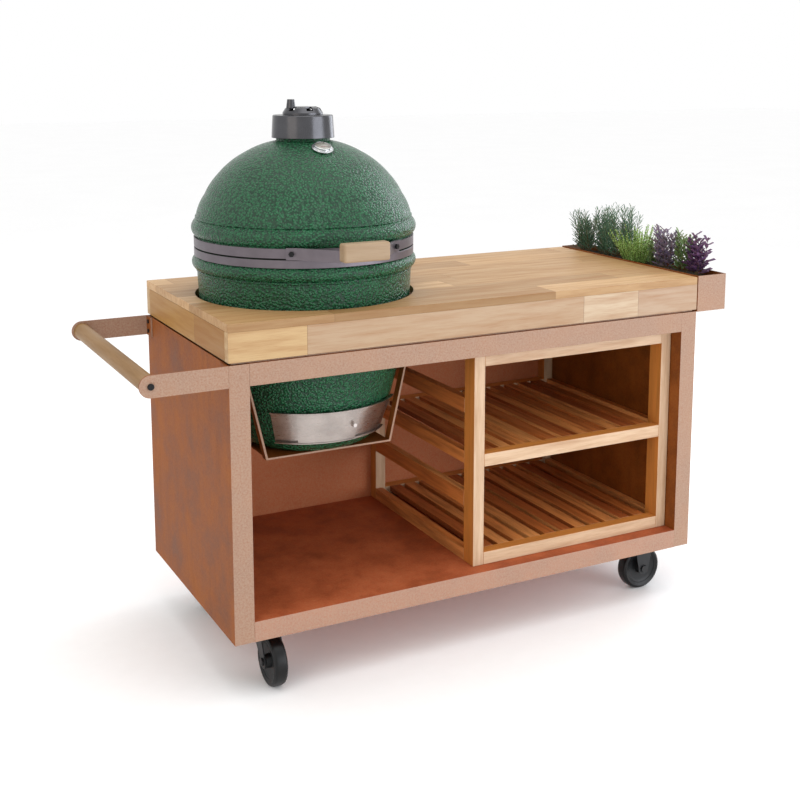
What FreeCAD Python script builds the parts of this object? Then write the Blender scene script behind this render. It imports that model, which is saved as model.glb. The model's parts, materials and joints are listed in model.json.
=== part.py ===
"""A kamado ceramic grill standing in a rolling steel cart with a wooden worktop.

The frame is +X to the right along the front, +Y to the back, +Z up, in millimetres, with the origin on
the ground under the middle of the whole object. Every driving size is a cell of the sheet named Dims.
"""

import FreeCAD, Part
import math
import os

import Sketcher

DIMENSIONS = {
    # steel cabinet
    "cab_length": 1350, "cab_depth": 650, "cab_height": 672, "ground_gap": 140, "side_thick": 50,
    "sheet_thick": 3, "floor_rise": 50, "rail_tall": 52.5, "rail_deep": 50, "back_rail_tall": 40,
    "beam_wide": 96, "crossbar_size": 30, "shadow_gap": 5, "spacer_inset": 8, "spacer_wide": 41,
    # wooden worktop
    "board_thick": 20, "apron_tall": 70, "apron_thick": 26, "hole_radius": 280,
    # push handle on the left end
    "handle_reach": 205, "arm_tall": 52, "arm_thick": 5, "bar_radius": 21, "arm_tab": 38,
    "handle_screw_radius": 4, "screw_head_tall": 4,
    # planter on the right end
    "planter_gap": 3, "planter_wide": 98, "planter_tall": 100, "planter_proud": 3, "planter_wall": 2,
    "soil_below_rim": 14, "herb_height": 132,
    # place and height of the grill
    "egg_inset": 325, "egg_foot": 522, "seam_rise": 507, "grip_reach": 50,
    # ceramic base: radius and rise above the foot at each station of the outline
    "foot_radius": 150, "foot_round": 7, "low_radius": 196, "low_rise": 43, "mid_radius": 235,
    "mid_rise": 172, "upper_radius": 262, "upper_rise": 294, "waist_radius": 273.5, "waist_rise": 444,
    "bead_radius": 286, "base_bead_rise": 466, "base_band_rise": 485, "flange_radius": 275.5,
    "flange_gap": 2, "base_wall": 28, "base_floor": 30, "rim_inner": 246,
    # lid: radius and rise above the foot
    "lid_band_rise": 509, "lid_flange_rise": 511, "lid_bead_rise": 557, "lid_flange_top": 534,
    "shoulder_radius": 274, "shoulder_rise": 577, "haunch_radius": 251, "haunch_rise": 636,
    "crown_radius": 218, "crown_rise": 685, "top_radius": 148, "top_rise": 741, "neck_radius": 68.5,
    "neck_foot_rise": 770, "neck_top_rise": 781, "flue_radius": 50, "lid_wall": 25,
    # steel bands, felt and hinge
    "band_inner": 276, "band_thick": 4, "base_band_tall": 20, "lid_band_tall": 23, "felt_thick": 2.7,
    "hinge_back": 300, "pin_radius": 5, "pin_length": 128, "running_gap": 0.05, "knuckle_radius": 12,
    # grip on the lid
    "grip_length": 118, "grip_tall": 44, "grip_deep": 32, "grip_rise": 510, "bracket_thick": 4,
    "bolt_angle": 29, "bolt_radius": 4, "strip_rise": 506, "strip_tall": 29,
    # cradle that hangs the grill in the cabinet
    "cradle_deep": 298, "cradle_thick": 5, "cradle_half": 167, "cradle_bend_rise": 196,
    "cradle_bend_half": 213, "cradle_lean_rise": 268, "cradle_tab": 32, "cradle_strap": 24,
    # draught door
    "door_low_radius": 202, "door_high_radius": 232, "door_low_rise": 33, "door_tall": 86,
    "door_half_angle": 49, "door_closed_angle": 42, "port_wide": 100, "port_rise": 58, "port_tall": 46,
    # fire parts
    "firebox_top_rise": 248, "grate_rise": 78, "grate_radius": 112, "ring_top_rise": 450,
    "grid_radius": 218, "grid_wire": 3, "grid_bars": 15,
    # thermometer and top vent
    "probe_out": 121, "probe_rise": 754.6, "probe_lean": 23.2, "bezel_radius": 27, "dial_radius": 21.4,
    "vent_low_radius": 79.6, "vent_high_radius": 76.4, "vent_low_rise": 777, "vent_tall": 57,
    "vent_wall": 5, "rotor_radius": 51, "rotor_tall": 20, "petals": 6,
    # shelf insert
    "insert_left": 667, "insert_right": 1298, "insert_front": 40, "insert_back": 645,
    "insert_tall": 566, "glide_gap": 0.5, "post_wide": 32, "front_post_deep": 50, "back_post_deep": 34,
    "rail_size": 34, "side_rail_thick": 22, "guard_tall": 40, "shelf_step": 266, "guard_rise": 150,
    "slat_wide": 35, "slat_thick": 15, "slats": 11,
    # casters
    "wheel_radius": 62.5, "tyre_wide": 36, "hub_radius": 45, "hub_wide": 42, "axle_radius": 6,
    "fork_gap": 46, "fork_thick": 3, "caster_tall": 158, "trail": 45, "left_inset": 110,
    "right_inset": 102, "caster_side": 90, "plate_long": 96, "plate_wide": 84, "stem_radius": 26,
}

doc = FreeCAD.newDocument("kamado_cart")
sheet = doc.addObject("Spreadsheet::Sheet", "Dims")
for row, (alias, cell_value) in enumerate(DIMENSIONS.items(), start=1):
    sheet.set(f"A{row}", alias)
    sheet.set(f"B{row}", str(cell_value))
    sheet.setAlias(f"B{row}", alias)
doc.recompute()


class Size:
    """A number together with the sheet expression that gives it."""

    def __init__(self, text, value):
        self.text = text
        self.value = value

    def __add__(self, other):
        other = size(other)
        return Size(f"({self.text} + {other.text})", self.value + other.value)

    def __sub__(self, other):
        other = size(other)
        return Size(f"({self.text} - {other.text})", self.value - other.value)

    def __mul__(self, other):
        other = size(other)
        return Size(f"({self.text} * {other.text})", self.value * other.value)

    def __truediv__(self, other):
        other = size(other)
        return Size(f"({self.text} / {other.text})", self.value / other.value)

    def __neg__(self):
        return Size(f"(0 - {self.text})", -self.value)

    __radd__ = __add__

    def __rsub__(self, other):
        return size(other) - self

    def __rmul__(self, other):
        return size(other) * self


def size(number):
    """The number as a Size, whether it is one already or a plain number."""
    if isinstance(number, Size):
        return number
    return Size(f"({number:.6f})", float(number))


class Dims:
    """The sheet's cells, each as a Size."""


for alias, cell_value in DIMENSIONS.items():
    setattr(Dims, alias, Size(f"Dims.{alias}", float(cell_value)))
d = Dims

LEFT = (d.handle_reach - d.cab_length - d.planter_gap - d.planter_wide) / 2
RIGHT = LEFT + d.cab_length
FRONT = (d.grip_reach - d.cab_depth - d.screw_head_tall) / 2
BACK = FRONT + d.cab_depth
INNER_LEFT = LEFT + d.side_thick
INNER_RIGHT = RIGHT - d.side_thick
CAB_BASE = d.ground_gap
FLOOR_TOP = CAB_BASE + d.floor_rise
CAB_TOP = CAB_BASE + d.cab_height
WOOD_BASE = CAB_TOP + d.shadow_gap
BOARD_BASE = WOOD_BASE + d.apron_tall
WORKTOP = BOARD_BASE + d.board_thick
EGG_X = LEFT + d.egg_inset
EGG_Y = FRONT + d.cab_depth / 2
EGG = (EGG_X, EGG_Y, d.egg_foot)

TURNS = {
    "Z": FreeCAD.Rotation(),
    "X": FreeCAD.Rotation(FreeCAD.Vector(0, 1, 0), 90),
    "Y": FreeCAD.Rotation(FreeCAD.Vector(1, 0, 0), -90),
}
FACING_FRONT = FreeCAD.Rotation(FreeCAD.Vector(0, 0, 1), -90)
nodes = {}


def place(item, at, rotation=None):
    """Puts an object at a point of Sizes, turned by a fixed rotation."""
    at = [size(v) for v in at]
    start = FreeCAD.Vector(*[v.value for v in at])
    item.Placement = FreeCAD.Placement(start, rotation or FreeCAD.Rotation())
    for letter, v in zip("xyz", at):
        item.setExpression(f"Placement.Base.{letter}", v.text)
    return item


def bound(item, **sizes):
    """Sets each named property from its Size's expression."""
    for prop, v in sizes.items():
        item.setExpression(prop, size(v).text)
    return item


def box(name, low, high):
    """A block between two corners."""
    item = doc.addObject("Part::Box", name)
    spans = [size(b) - size(a) for a, b in zip(low, high)]
    bound(item, Length=spans[0], Width=spans[1], Height=spans[2])
    return place(item, low)


def rod(name, radius, at, length, axis="Z", rotation=None):
    """A round bar from a point along an axis."""
    item = doc.addObject("Part::Cylinder", name)
    bound(item, Radius=radius, Height=length)
    return place(item, at, rotation or TURNS[axis])


def cut(name, base, *tools):
    """The base with every tool taken out of it."""
    item = doc.addObject("Part::Cut", name)
    item.Base = base
    item.Tool = tools[0] if len(tools) == 1 else fuse(f"{name}_tools", *tools)
    return item


def fuse(name, *pieces):
    """The pieces welded into one solid."""
    item = doc.addObject("Part::MultiFuse", name)
    item.Shapes = list(pieces)
    return item


def group(name, pieces):
    """Separate solids that share one node."""
    item = doc.addObject("Part::Compound", name)
    item.Links = list(pieces)
    return item


def node(name, item):
    """Names an object as a node that is written to its own file."""
    item.Label = name
    nodes[name] = item
    return item


def hollow(name, low, high, along, wall=None):
    """A rectangular tube: a block with its core taken out along one axis."""
    wall = wall or d.sheet_thick
    inner_low = [size(a) + (0 if n == along else wall) for n, a in zip("XYZ", low)]
    inner_high = [size(b) - (0 if n == along else wall) for n, b in zip("XYZ", high)]
    return cut(name, box(f"{name}_outer", low, high), box(f"{name}_core", inner_low, inner_high))


def origin_plane(body, role):
    """One of a body's own origin planes."""
    return next(f for f in body.Origin.OriginFeatures if f.Role == role)


def outline_sketch(body, role, outline):
    """A closed outline of straight runs and arcs, every corner bound to the sheet.

    An outline is a list of (across, up) corners. A corner followed by a third item, a (across, up)
    point, is joined to the next corner by the arc through that point.
    """
    sketch = body.newObject("Sketcher::SketchObject", f"{body.Name}_outline")
    sketch.AttachmentSupport = (origin_plane(body, role), [""])
    sketch.MapMode = "FlatFace"
    corners = [(size(c[0]), size(c[1])) for c in outline]
    flat = [FreeCAD.Vector(u.value, v.value, 0) for u, v in corners]
    vias = [c[2] if len(c) > 2 else None for c in outline]
    ends = []
    for n, via in enumerate(vias):
        start, end = flat[n], flat[(n + 1) % len(flat)]
        if via is None:
            ends.append((sketch.addGeometry(Part.LineSegment(start, end)), 1, 2))
            continue
        middle = FreeCAD.Vector(size(via[0]).value, size(via[1]).value, 0)
        curve = sketch.addGeometry(Part.Arc(start, middle, end))
        clockwise = (middle - start).cross(end - middle).z < 0
        ends.append((curve, 2, 1) if clockwise else (curve, 1, 2))
    for n, (geo, _, last) in enumerate(ends):
        following = ends[(n + 1) % len(ends)]
        sketch.addConstraint(Sketcher.Constraint("Coincident", geo, last, following[0], following[1]))

    def pin(geo, point, across, up):
        for kind, axis, v in (("DistanceX", -2, across), ("DistanceY", -1, up)):
            if abs(v.value) < 1e-9:
                sketch.addConstraint(Sketcher.Constraint("PointOnObject", geo, point, axis))
                continue
            index = sketch.addConstraint(Sketcher.Constraint(kind, -1, 1, geo, point, v.value))
            label = f"{kind[-1].lower()}_{index}"
            sketch.renameConstraint(index, label)
            sketch.setExpression(f"Constraints.{label}", v.text)

    for (geo, first, _), (across, up) in zip(ends, corners):
        pin(geo, first, across, up)
    for (geo, _, _), via in zip(ends, vias):
        if via is not None:
            across, up = size(via[0]), size(via[1])
            mark = sketch.addGeometry(Part.Point(FreeCAD.Vector(across.value, up.value, 0)), True)
            pin(mark, 1, across, up)
            sketch.addConstraint(Sketcher.Constraint("PointOnObject", mark, 1, geo))
    return sketch


def turned(name, outline, at=EGG, sweep=360, rotation=None):
    """A body turned from (radius, rise) corners about a vertical axis through a point."""
    body = doc.addObject("PartDesign::Body", name)
    revolution = body.newObject("PartDesign::Revolution", f"{name}_turn")
    revolution.Profile = outline_sketch(body, "XZ_Plane", outline)
    revolution.ReferenceAxis = (revolution.Profile[0], ["V_Axis"])
    if sweep == 360:
        revolution.Angle = 360
    else:
        revolution.Midplane = True
        bound(revolution, Angle=sweep)
    return place(body, at, rotation)


def plate(name, outline, thick, at, role="XY_Plane", both_ways=False, rotation=None):
    """A body padded from an outline on one of its origin planes."""
    body = doc.addObject("PartDesign::Body", name)
    pad = body.newObject("PartDesign::Pad", f"{name}_pad")
    pad.Profile = outline_sketch(body, role, outline)
    bound(pad, Length=thick)
    pad.Midplane = both_ways
    return place(body, at, rotation)


# ---------------------------------------------------------------- steel cabinet
def side_panel(name, x_low):
    """One double-walled end of the cabinet, open at its top and bottom."""
    low = (x_low, FRONT, CAB_BASE)
    high = (x_low + d.side_thick, BACK, CAB_TOP)
    return node(name, hollow(name, low, high, "Z"))


side_panel("side_panel_left", LEFT)
side_panel("side_panel_right", INNER_RIGHT)
PANEL_FACE = BACK - d.sheet_thick
node("back_panel", box("back_panel", (INNER_LEFT, PANEL_FACE, CAB_BASE), (INNER_RIGHT, BACK, CAB_TOP)))

CASTER_X = {"left": LEFT + d.left_inset, "right": RIGHT - d.right_inset}
CASTER_Y = {"front": FRONT + d.caster_side, "back": BACK - d.caster_side}
PLATE_HOLE_X = 37
PLATE_HOLE_Y = 31
PLATE_THICK = 4
SCREW_RADIUS = 4


def plate_holes(name, z_low, length, radius):
    """The four screw positions of every caster plate, as round bars."""
    bars = []
    for side, x in CASTER_X.items():
        for end, y in CASTER_Y.items():
            for sx in (-PLATE_HOLE_X, PLATE_HOLE_X):
                for sy in (-PLATE_HOLE_Y, PLATE_HOLE_Y):
                    bars.append(rod(f"{name}_{side}_{end}", radius, (x + sx, y + sy, z_low), length))
    return bars


def floor_tray():
    """The folded floor with a beam across its underside at each pair of casters."""
    sheet_low = FLOOR_TOP - d.sheet_thick
    outer = box("tray_outer", (INNER_LEFT, FRONT, CAB_BASE), (INNER_RIGHT, PANEL_FACE, FLOOR_TOP))
    core_low = (INNER_LEFT + d.sheet_thick, FRONT + d.sheet_thick, CAB_BASE)
    core_high = (INNER_RIGHT - d.sheet_thick, PANEL_FACE - d.sheet_thick, sheet_low)
    tray = cut("tray", outer, box("tray_core", core_low, core_high))
    beams = []
    for side, x in CASTER_X.items():
        low_x = x - d.beam_wide / 2
        low = (low_x, FRONT + d.sheet_thick, d.caster_tall)
        high = (low_x + d.beam_wide, PANEL_FACE - d.sheet_thick, sheet_low)
        beams.append(hollow(f"beam_{side}", low, high, "Y"))
    whole = fuse("tray_and_beams", tray, *beams)
    holes = plate_holes("tray_hole", d.caster_tall - 1, d.sheet_thick + 2, SCREW_RADIUS)
    node("floor_tray", cut("floor_tray", whole, *holes))


def top_frame():
    """The welded frame under the worktop: rails, a crossbar for the cradle and a raised spacer ring."""
    rail = hollow(
        "front_rail",
        (INNER_LEFT, FRONT, CAB_TOP - d.rail_tall),
        (INNER_RIGHT, FRONT + d.rail_deep, CAB_TOP),
        "X",
    )
    back_low = (INNER_LEFT, PANEL_FACE - d.back_rail_tall, CAB_TOP - d.back_rail_tall)
    back_rail = hollow("back_rail", back_low, (INNER_RIGHT, PANEL_FACE, CAB_TOP), "X")
    bar_x = EGG_X + d.egg_inset - d.side_thick
    crossbar = box(
        "crossbar",
        (bar_x, FRONT + d.rail_deep, CAB_TOP - d.crossbar_size),
        (bar_x + d.crossbar_size, PANEL_FACE - d.back_rail_tall, CAB_TOP),
    )
    blocks = []
    for name, inset in (("ring_outer", d.spacer_inset), ("ring_core", d.spacer_inset + d.spacer_wide)):
        low = (LEFT + inset, FRONT + inset, CAB_TOP)
        blocks.append(box(name, low, (RIGHT - inset, BACK - inset, WOOD_BASE)))
    ring = cut("spacer_ring", *blocks)
    node("top_frame", fuse("top_frame", rail, back_rail, crossbar, ring))


floor_tray()
top_frame()

# ---------------------------------------------------------------- wooden worktop
board = box("board_blank", (LEFT, FRONT, BOARD_BASE), (RIGHT, BACK, WORKTOP))
board_hole = rod("board_hole", d.hole_radius, (EGG_X, EGG_Y, BOARD_BASE - 1), d.board_thick + 2)
node("worktop_board", cut("worktop_board", board, board_hole))
APRON_FRONT_INNER = FRONT + d.apron_thick
APRON_BACK_INNER = BACK - d.apron_thick
node("apron_front", box("apron_front", (LEFT, FRONT, WOOD_BASE), (RIGHT, APRON_FRONT_INNER, BOARD_BASE)))
node("apron_back", box("apron_back", (LEFT, APRON_BACK_INNER, WOOD_BASE), (RIGHT, BACK, BOARD_BASE)))
for apron, low_x in (("apron_left", LEFT), ("apron_right", RIGHT - d.apron_thick)):
    low_corner = (low_x, APRON_FRONT_INNER, WOOD_BASE)
    node(apron, box(apron, low_corner, (low_x + d.apron_thick, APRON_BACK_INNER, BOARD_BASE)))

# ---------------------------------------------------------------- push handle
ARM_BASE = CAB_TOP - d.arm_tall
BAR_X = LEFT - d.handle_reach + d.arm_tall / 2
BAR_Z = ARM_BASE + d.arm_tall / 2


def handle_arm(name, y_low, tab_y):
    """A flat arm with a rounded end and a folded tab against the cabinet's end."""
    bar = box(f"{name}_flat", (BAR_X, y_low, ARM_BASE), (LEFT, y_low + d.arm_thick, CAB_TOP))
    end = rod(f"{name}_end", d.arm_tall / 2, (BAR_X, y_low, BAR_Z), d.arm_thick, "Y")
    tab_low = (LEFT - d.arm_thick, tab_y, ARM_BASE)
    tab = box(f"{name}_tab", tab_low, (LEFT, tab_y + d.arm_tab, CAB_TOP))
    hole = rod(f"{name}_hole", d.handle_screw_radius, (BAR_X, y_low - 1, BAR_Z), d.arm_thick + 2, "Y")
    return cut(name, fuse(f"{name}_blank", bar, end, tab), hole)


arms = [
    handle_arm("handle_arm_front", FRONT, FRONT + d.arm_thick),
    handle_arm("handle_arm_back", BACK - d.arm_thick, BACK - d.arm_thick - d.arm_tab),
]
node("handle_arms", group("handle_arms", arms))
PILOT_DEEP = 30
bar_front = (BAR_X, FRONT + d.arm_thick, BAR_Z)
back_pilot_start = (BAR_X, BACK - d.arm_thick - PILOT_DEEP, BAR_Z)
bar_blank = rod("bar_blank", d.bar_radius, bar_front, d.cab_depth - 2 * d.arm_thick, "Y")
pilots = [
    rod("bar_pilot_front", d.handle_screw_radius, bar_front, PILOT_DEEP, "Y"),
    rod("bar_pilot_back", d.handle_screw_radius, back_pilot_start, PILOT_DEEP, "Y"),
]
node("handle_bar", cut("handle_bar", bar_blank, *pilots))

# ---------------------------------------------------------------- planter and herbs
PLANTER_LEFT = RIGHT + d.planter_gap
PLANTER_RIGHT = PLANTER_LEFT + d.planter_wide
PLANTER_TOP = WORKTOP + d.planter_proud
PLANTER_BASE = PLANTER_TOP - d.planter_tall
outer_low = (PLANTER_LEFT, FRONT, PLANTER_BASE)
planter_outer = box("planter_outer", outer_low, (PLANTER_RIGHT, BACK, PLANTER_TOP))
soil_low = [v + d.planter_wall for v in outer_low]
soil_high = (PLANTER_RIGHT - d.planter_wall, BACK - d.planter_wall)
planter_core = box("planter_core", soil_low, (*soil_high, PLANTER_TOP + 1))
node("planter_box", cut("planter_box", planter_outer, planter_core))
SOIL_TOP = PLANTER_TOP - d.soil_below_rim
node("planting_soil", box("planting_soil", soil_low, (*soil_high, SOIL_TOP)))
HERB_X = PLANTER_LEFT + d.planter_wide / 2


def herb(name, y_part, half_long, tall_part):
    """A rounded bush that grows out of the soil, as one closed solid."""
    tall = d.herb_height * tall_part
    bush = doc.addObject("Part::Ellipsoid", f"{name}_bush")
    bound(bush, Radius1=tall * 0.56, Radius2=d.planter_wide / 2 - 0.5, Radius3=half_long)
    bush.Angle1, bush.Angle2, bush.Angle3 = -90, 90, 360
    middle_y = FRONT + d.cab_depth * y_part
    place(bush, (HERB_X, middle_y, SOIL_TOP + tall * 0.44))
    clear = 200
    low = (HERB_X - clear, middle_y - clear, SOIL_TOP - clear)
    under = box(f"{name}_under", low, (HERB_X + clear, middle_y + clear, SOIL_TOP))
    node(name, cut(name, bush, under))


herb("purple_sage_herb", 0.20, 105, 0.82)
herb("bushy_thyme_herb", 0.52, 95, 0.92)
herb("rosemary_herb", 0.82, 95, 1.0)

# ---------------------------------------------------------------- ceramic base and lid
BASE_TOP = d.seam_rise - d.flange_gap
LID_BOTTOM = d.lid_flange_rise


def egg_base():
    """The lower bowl, thick walled, with a draught port through its front."""
    inner_low = d.low_radius - d.base_wall
    outline = [
        (0, 0),
        (d.foot_radius, 0, (d.low_radius - 16, d.foot_round + 10)),
        (d.low_radius, d.low_rise, (d.mid_radius - 17, d.mid_rise - 65)),
        (d.mid_radius, d.mid_rise, (d.upper_radius - 11.5, d.upper_rise - 62)),
        (d.upper_radius, d.upper_rise, (d.waist_radius - 4.3, d.waist_rise - 78)),
        (d.waist_radius, d.waist_rise, (d.bead_radius, d.base_bead_rise)),
        (d.flange_radius, d.base_band_rise),
        (d.flange_radius, BASE_TOP),
        (d.rim_inner, BASE_TOP),
        (d.rim_inner, d.waist_rise, (d.upper_radius - d.base_wall - 1, d.upper_rise + 10)),
        (d.mid_radius - d.base_wall, d.mid_rise, (inner_low + 22, d.low_rise + 58)),
        (inner_low, d.low_rise + 14, (inner_low - 10, d.base_floor + 8)),
        (inner_low - 26, d.base_floor),
        (0, d.base_floor),
    ]
    bowl = turned("base_bowl", outline)
    half = d.port_wide / 2
    port = box(
        "draught_port",
        (EGG_X - half, EGG_Y - d.upper_radius, d.egg_foot + d.port_rise),
        (EGG_X + half, EGG_Y - d.foot_radius + 20, d.egg_foot + d.port_rise + d.port_tall),
    )
    node("egg_base", cut("egg_base", bowl, port))


def lean_turn():
    """The tilt of the thermometer, square to the lid where it sits."""
    return FreeCAD.Rotation(FreeCAD.Vector(1, 0, 0), d.probe_lean.value)


PROBE = (EGG_X, EGG_Y - d.probe_out, d.egg_foot + d.probe_rise)
PROBE_HOLE_RADIUS = 6


def egg_dome():
    """The lid: a domed shell with a neck for the vent and a hole for the thermometer."""
    t = d.lid_wall
    outline = [
        (d.rim_inner, LID_BOTTOM),
        (d.flange_radius, LID_BOTTOM),
        (d.flange_radius, d.lid_flange_top, (d.bead_radius, d.lid_bead_rise)),
        (d.shoulder_radius, d.shoulder_rise, (d.haunch_radius + 15.5, d.haunch_rise - 28)),
        (d.haunch_radius, d.haunch_rise, (d.crown_radius + 18.6, d.crown_rise - 23)),
        (d.crown_radius, d.crown_rise, (d.top_radius + 38.5, d.top_rise - 25)),
        (d.top_radius, d.top_rise, (d.top_radius - 38, d.neck_foot_rise - 11)),
        (d.neck_radius, d.neck_foot_rise),
        (d.neck_radius, d.neck_top_rise),
        (d.flue_radius, d.neck_top_rise),
        (d.flue_radius, d.neck_foot_rise - t + 1, (d.top_radius - 44, d.neck_foot_rise - t - 10)),
        (d.top_radius - 12, d.top_rise - t + 4, (d.top_radius + 24, d.top_rise - 40)),
        (d.crown_radius - 18, d.crown_rise - 18, (d.crown_radius + 4, d.crown_rise - 46)),
        (d.haunch_radius - 23, d.haunch_rise - 11, (d.rim_inner - 7, d.shoulder_rise + 6)),
        (d.rim_inner, d.lid_flange_top),
    ]
    shell = turned("dome_shell", outline)
    drop = 56
    drill_low = (PROBE[0], PROBE[1] + drop * math.tan(math.radians(d.probe_lean.value)), PROBE[2] - drop)
    drill = rod("probe_drill", PROBE_HOLE_RADIUS, drill_low, 110, rotation=lean_turn())
    node("egg_dome", cut("egg_dome", shell, drill))


def ring(name, inner, outer, low, high):
    """A plain ring about the grill's axis."""
    return turned(name, [(inner, low), (outer, low), (outer, high), (inner, high)])


def bolt_turn(angle):
    """The rotation that points a bar out of the band at an angle from straight ahead."""
    lay_forward = FreeCAD.Rotation(FreeCAD.Vector(1, 0, 0), 90)
    return FreeCAD.Rotation(FreeCAD.Vector(0, 0, 1), angle) * lay_forward


def on_band(angle, radius, rise):
    """A point at an angle from straight ahead, at a radius from the grill's axis."""
    across = radius * math.sin(math.radians(angle))
    ahead = radius * math.cos(math.radians(angle))
    return (EGG_X + across, EGG_Y - ahead, d.egg_foot + rise)


BAND_OUTER = d.band_inner + d.band_thick
BOLT_RISE = d.lid_band_rise + d.lid_band_tall / 2
BOLT_ANGLES = (-d.bolt_angle.value, d.bolt_angle.value)


def band_drills(name):
    """Bars through the lid band where the grip's bracket is bolted on."""
    start = d.band_inner + 0.2
    return [
        rod(f"{name}_{n}", d.bolt_radius, on_band(a, start, BOLT_RISE), 14, rotation=bolt_turn(a))
        for n, a in enumerate(BOLT_ANGLES)
    ]


egg_base()
egg_dome()
FELT_INNER = d.rim_inner + 2
FELT_OUTER = d.flange_radius - 3
node("base_gasket", ring("base_gasket", FELT_INNER, FELT_OUTER, BASE_TOP, BASE_TOP + d.felt_thick - 1))
node("dome_gasket", ring("dome_gasket", FELT_INNER, FELT_OUTER, LID_BOTTOM - d.felt_thick + 1, LID_BOTTOM))
base_band_top = d.base_band_rise + d.base_band_tall
node("base_band", ring("base_band", d.band_inner, BAND_OUTER, d.base_band_rise, base_band_top))
lid_hoop = ring("lid_hoop", d.band_inner, BAND_OUTER, d.lid_band_rise, d.lid_band_rise + d.lid_band_tall)
node("dome_band", cut("dome_band", lid_hoop, *band_drills("band_drill")))

# ---------------------------------------------------------------- hinge
HINGE_Y = EGG_Y + d.hinge_back
HINGE_Z = d.egg_foot + d.seam_rise
EAR_THICK = 10
BASE_EARS = (-60, 50)
LID_EARS = (-46, 36)
LEAF_GAP = 0.6
LEAF_THICK = 5
LEAF_FRONT = EGG_Y + BAND_OUTER + LEAF_GAP


def hinge_leaf(name, half_wide, low_rise, high_rise, ears, web_low, web_high):
    """A flat leaf on a band with two ears that carry the pin."""
    low = (EGG_X - half_wide, LEAF_FRONT, d.egg_foot + low_rise)
    high = (EGG_X + half_wide, LEAF_FRONT + LEAF_THICK, d.egg_foot + high_rise)
    pieces = [box(f"{name}_leaf", low, high)]
    for n, ear_x in enumerate(ears):
        x = EGG_X + ear_x
        low = (x, LEAF_FRONT, d.egg_foot + web_low)
        high = (x + EAR_THICK, HINGE_Y, d.egg_foot + web_high)
        pieces.append(box(f"{name}_web_{n}", low, high))
        pieces.append(rod(f"{name}_ear_{n}", d.knuckle_radius, (x, HINGE_Y, HINGE_Z), EAR_THICK, "X"))
    bore = rod(f"{name}_bore", d.pin_radius + d.running_gap, (EGG_X - 80, HINGE_Y, HINGE_Z), 160, "X")
    return node(name, cut(name, fuse(f"{name}_blank", *pieces), bore))


hinge_leaf("hinge_leaf_base", 62, d.base_band_rise + 1, base_band_top, BASE_EARS, 495, 506)
hinge_leaf("hinge_leaf_lid", 48, d.lid_band_rise, d.lid_band_rise + d.lid_band_tall, LID_EARS, 510, 519)
pin_start = (EGG_X - d.pin_length / 2, HINGE_Y, HINGE_Z)
node("hinge_pin", rod("hinge_pin", d.pin_radius, pin_start, d.pin_length, "X"))

# ---------------------------------------------------------------- grip on the lid
GRIP_FRONT = FRONT - d.grip_reach
GRIP_BASE = d.egg_foot + d.grip_rise
GRIP_HALF = d.grip_length / 2


def grip_arm(side):
    """A bent strip from the band to the back of the grip. Side is -1 for left, 1 for right."""
    angle = d.bolt_angle.value
    reach = BAND_OUTER + 0.4
    across, ahead = math.sin(math.radians(angle)), math.cos(math.radians(angle))
    foot = (reach * across, -reach * ahead)
    tail = 13
    thick = d.bracket_thick
    grip_back = GRIP_FRONT - EGG_Y + d.grip_deep
    bend = GRIP_HALF - 8
    outline = [
        (foot[0] + tail * ahead, foot[1] + tail * across),
        (foot[0] - tail * ahead, foot[1] - tail * across),
        (bend, grip_back + thick),
        (bend - 26, grip_back + thick),
        (bend - 26, grip_back),
        (bend + thick * 0.5, grip_back),
        (foot[0] - tail * ahead + thick * 0.67, foot[1] - tail * across - thick * 0.77),
        (foot[0] + tail * ahead + thick * across, foot[1] + tail * across - thick * ahead),
    ]
    outline = [(u * side, v) for u, v in outline]
    at = (EGG_X, EGG_Y, d.egg_foot + d.strip_rise)
    blank = plate(f"grip_arm_{side + 1}_blank", outline, d.strip_tall, at)
    drills = band_drills(f"grip_arm_{side + 1}_drill")
    return cut(f"grip_arm_{side + 1}", blank, *drills)


def lid_bolt(n, angle):
    """A bolt through the bracket and the band, with a hexagon head."""
    shank_start = d.band_inner + 0.3
    head_start = BAND_OUTER + d.bracket_thick + 0.6
    shank_length = head_start - shank_start + 1
    foot = on_band(angle, shank_start, BOLT_RISE)
    shank_radius = d.bolt_radius - 0.3
    shank = rod(f"lid_bolt_shank_{n}", shank_radius, foot, shank_length, rotation=bolt_turn(angle))
    head = doc.addObject("Part::Prism", f"lid_bolt_head_{n}")
    head.Polygon = 6
    bound(head, Circumradius=d.bolt_radius * 1.7, Height=5)
    place(head, on_band(angle, head_start, BOLT_RISE), bolt_turn(angle))
    return fuse(f"lid_bolt_{n}", shank, head)


node("lid_handle_arms", group("lid_handle_arms", [grip_arm(-1), grip_arm(1)]))
grip_block = box(
    "grip_block",
    (EGG_X - GRIP_HALF, GRIP_FRONT, GRIP_BASE),
    (EGG_X + GRIP_HALF, GRIP_FRONT + d.grip_deep, GRIP_BASE + d.grip_tall),
)
node("lid_grip", grip_block)
node("lid_bolts", group("lid_bolts", [lid_bolt(n, a) for n, a in enumerate(BOLT_ANGLES)]))


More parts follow.
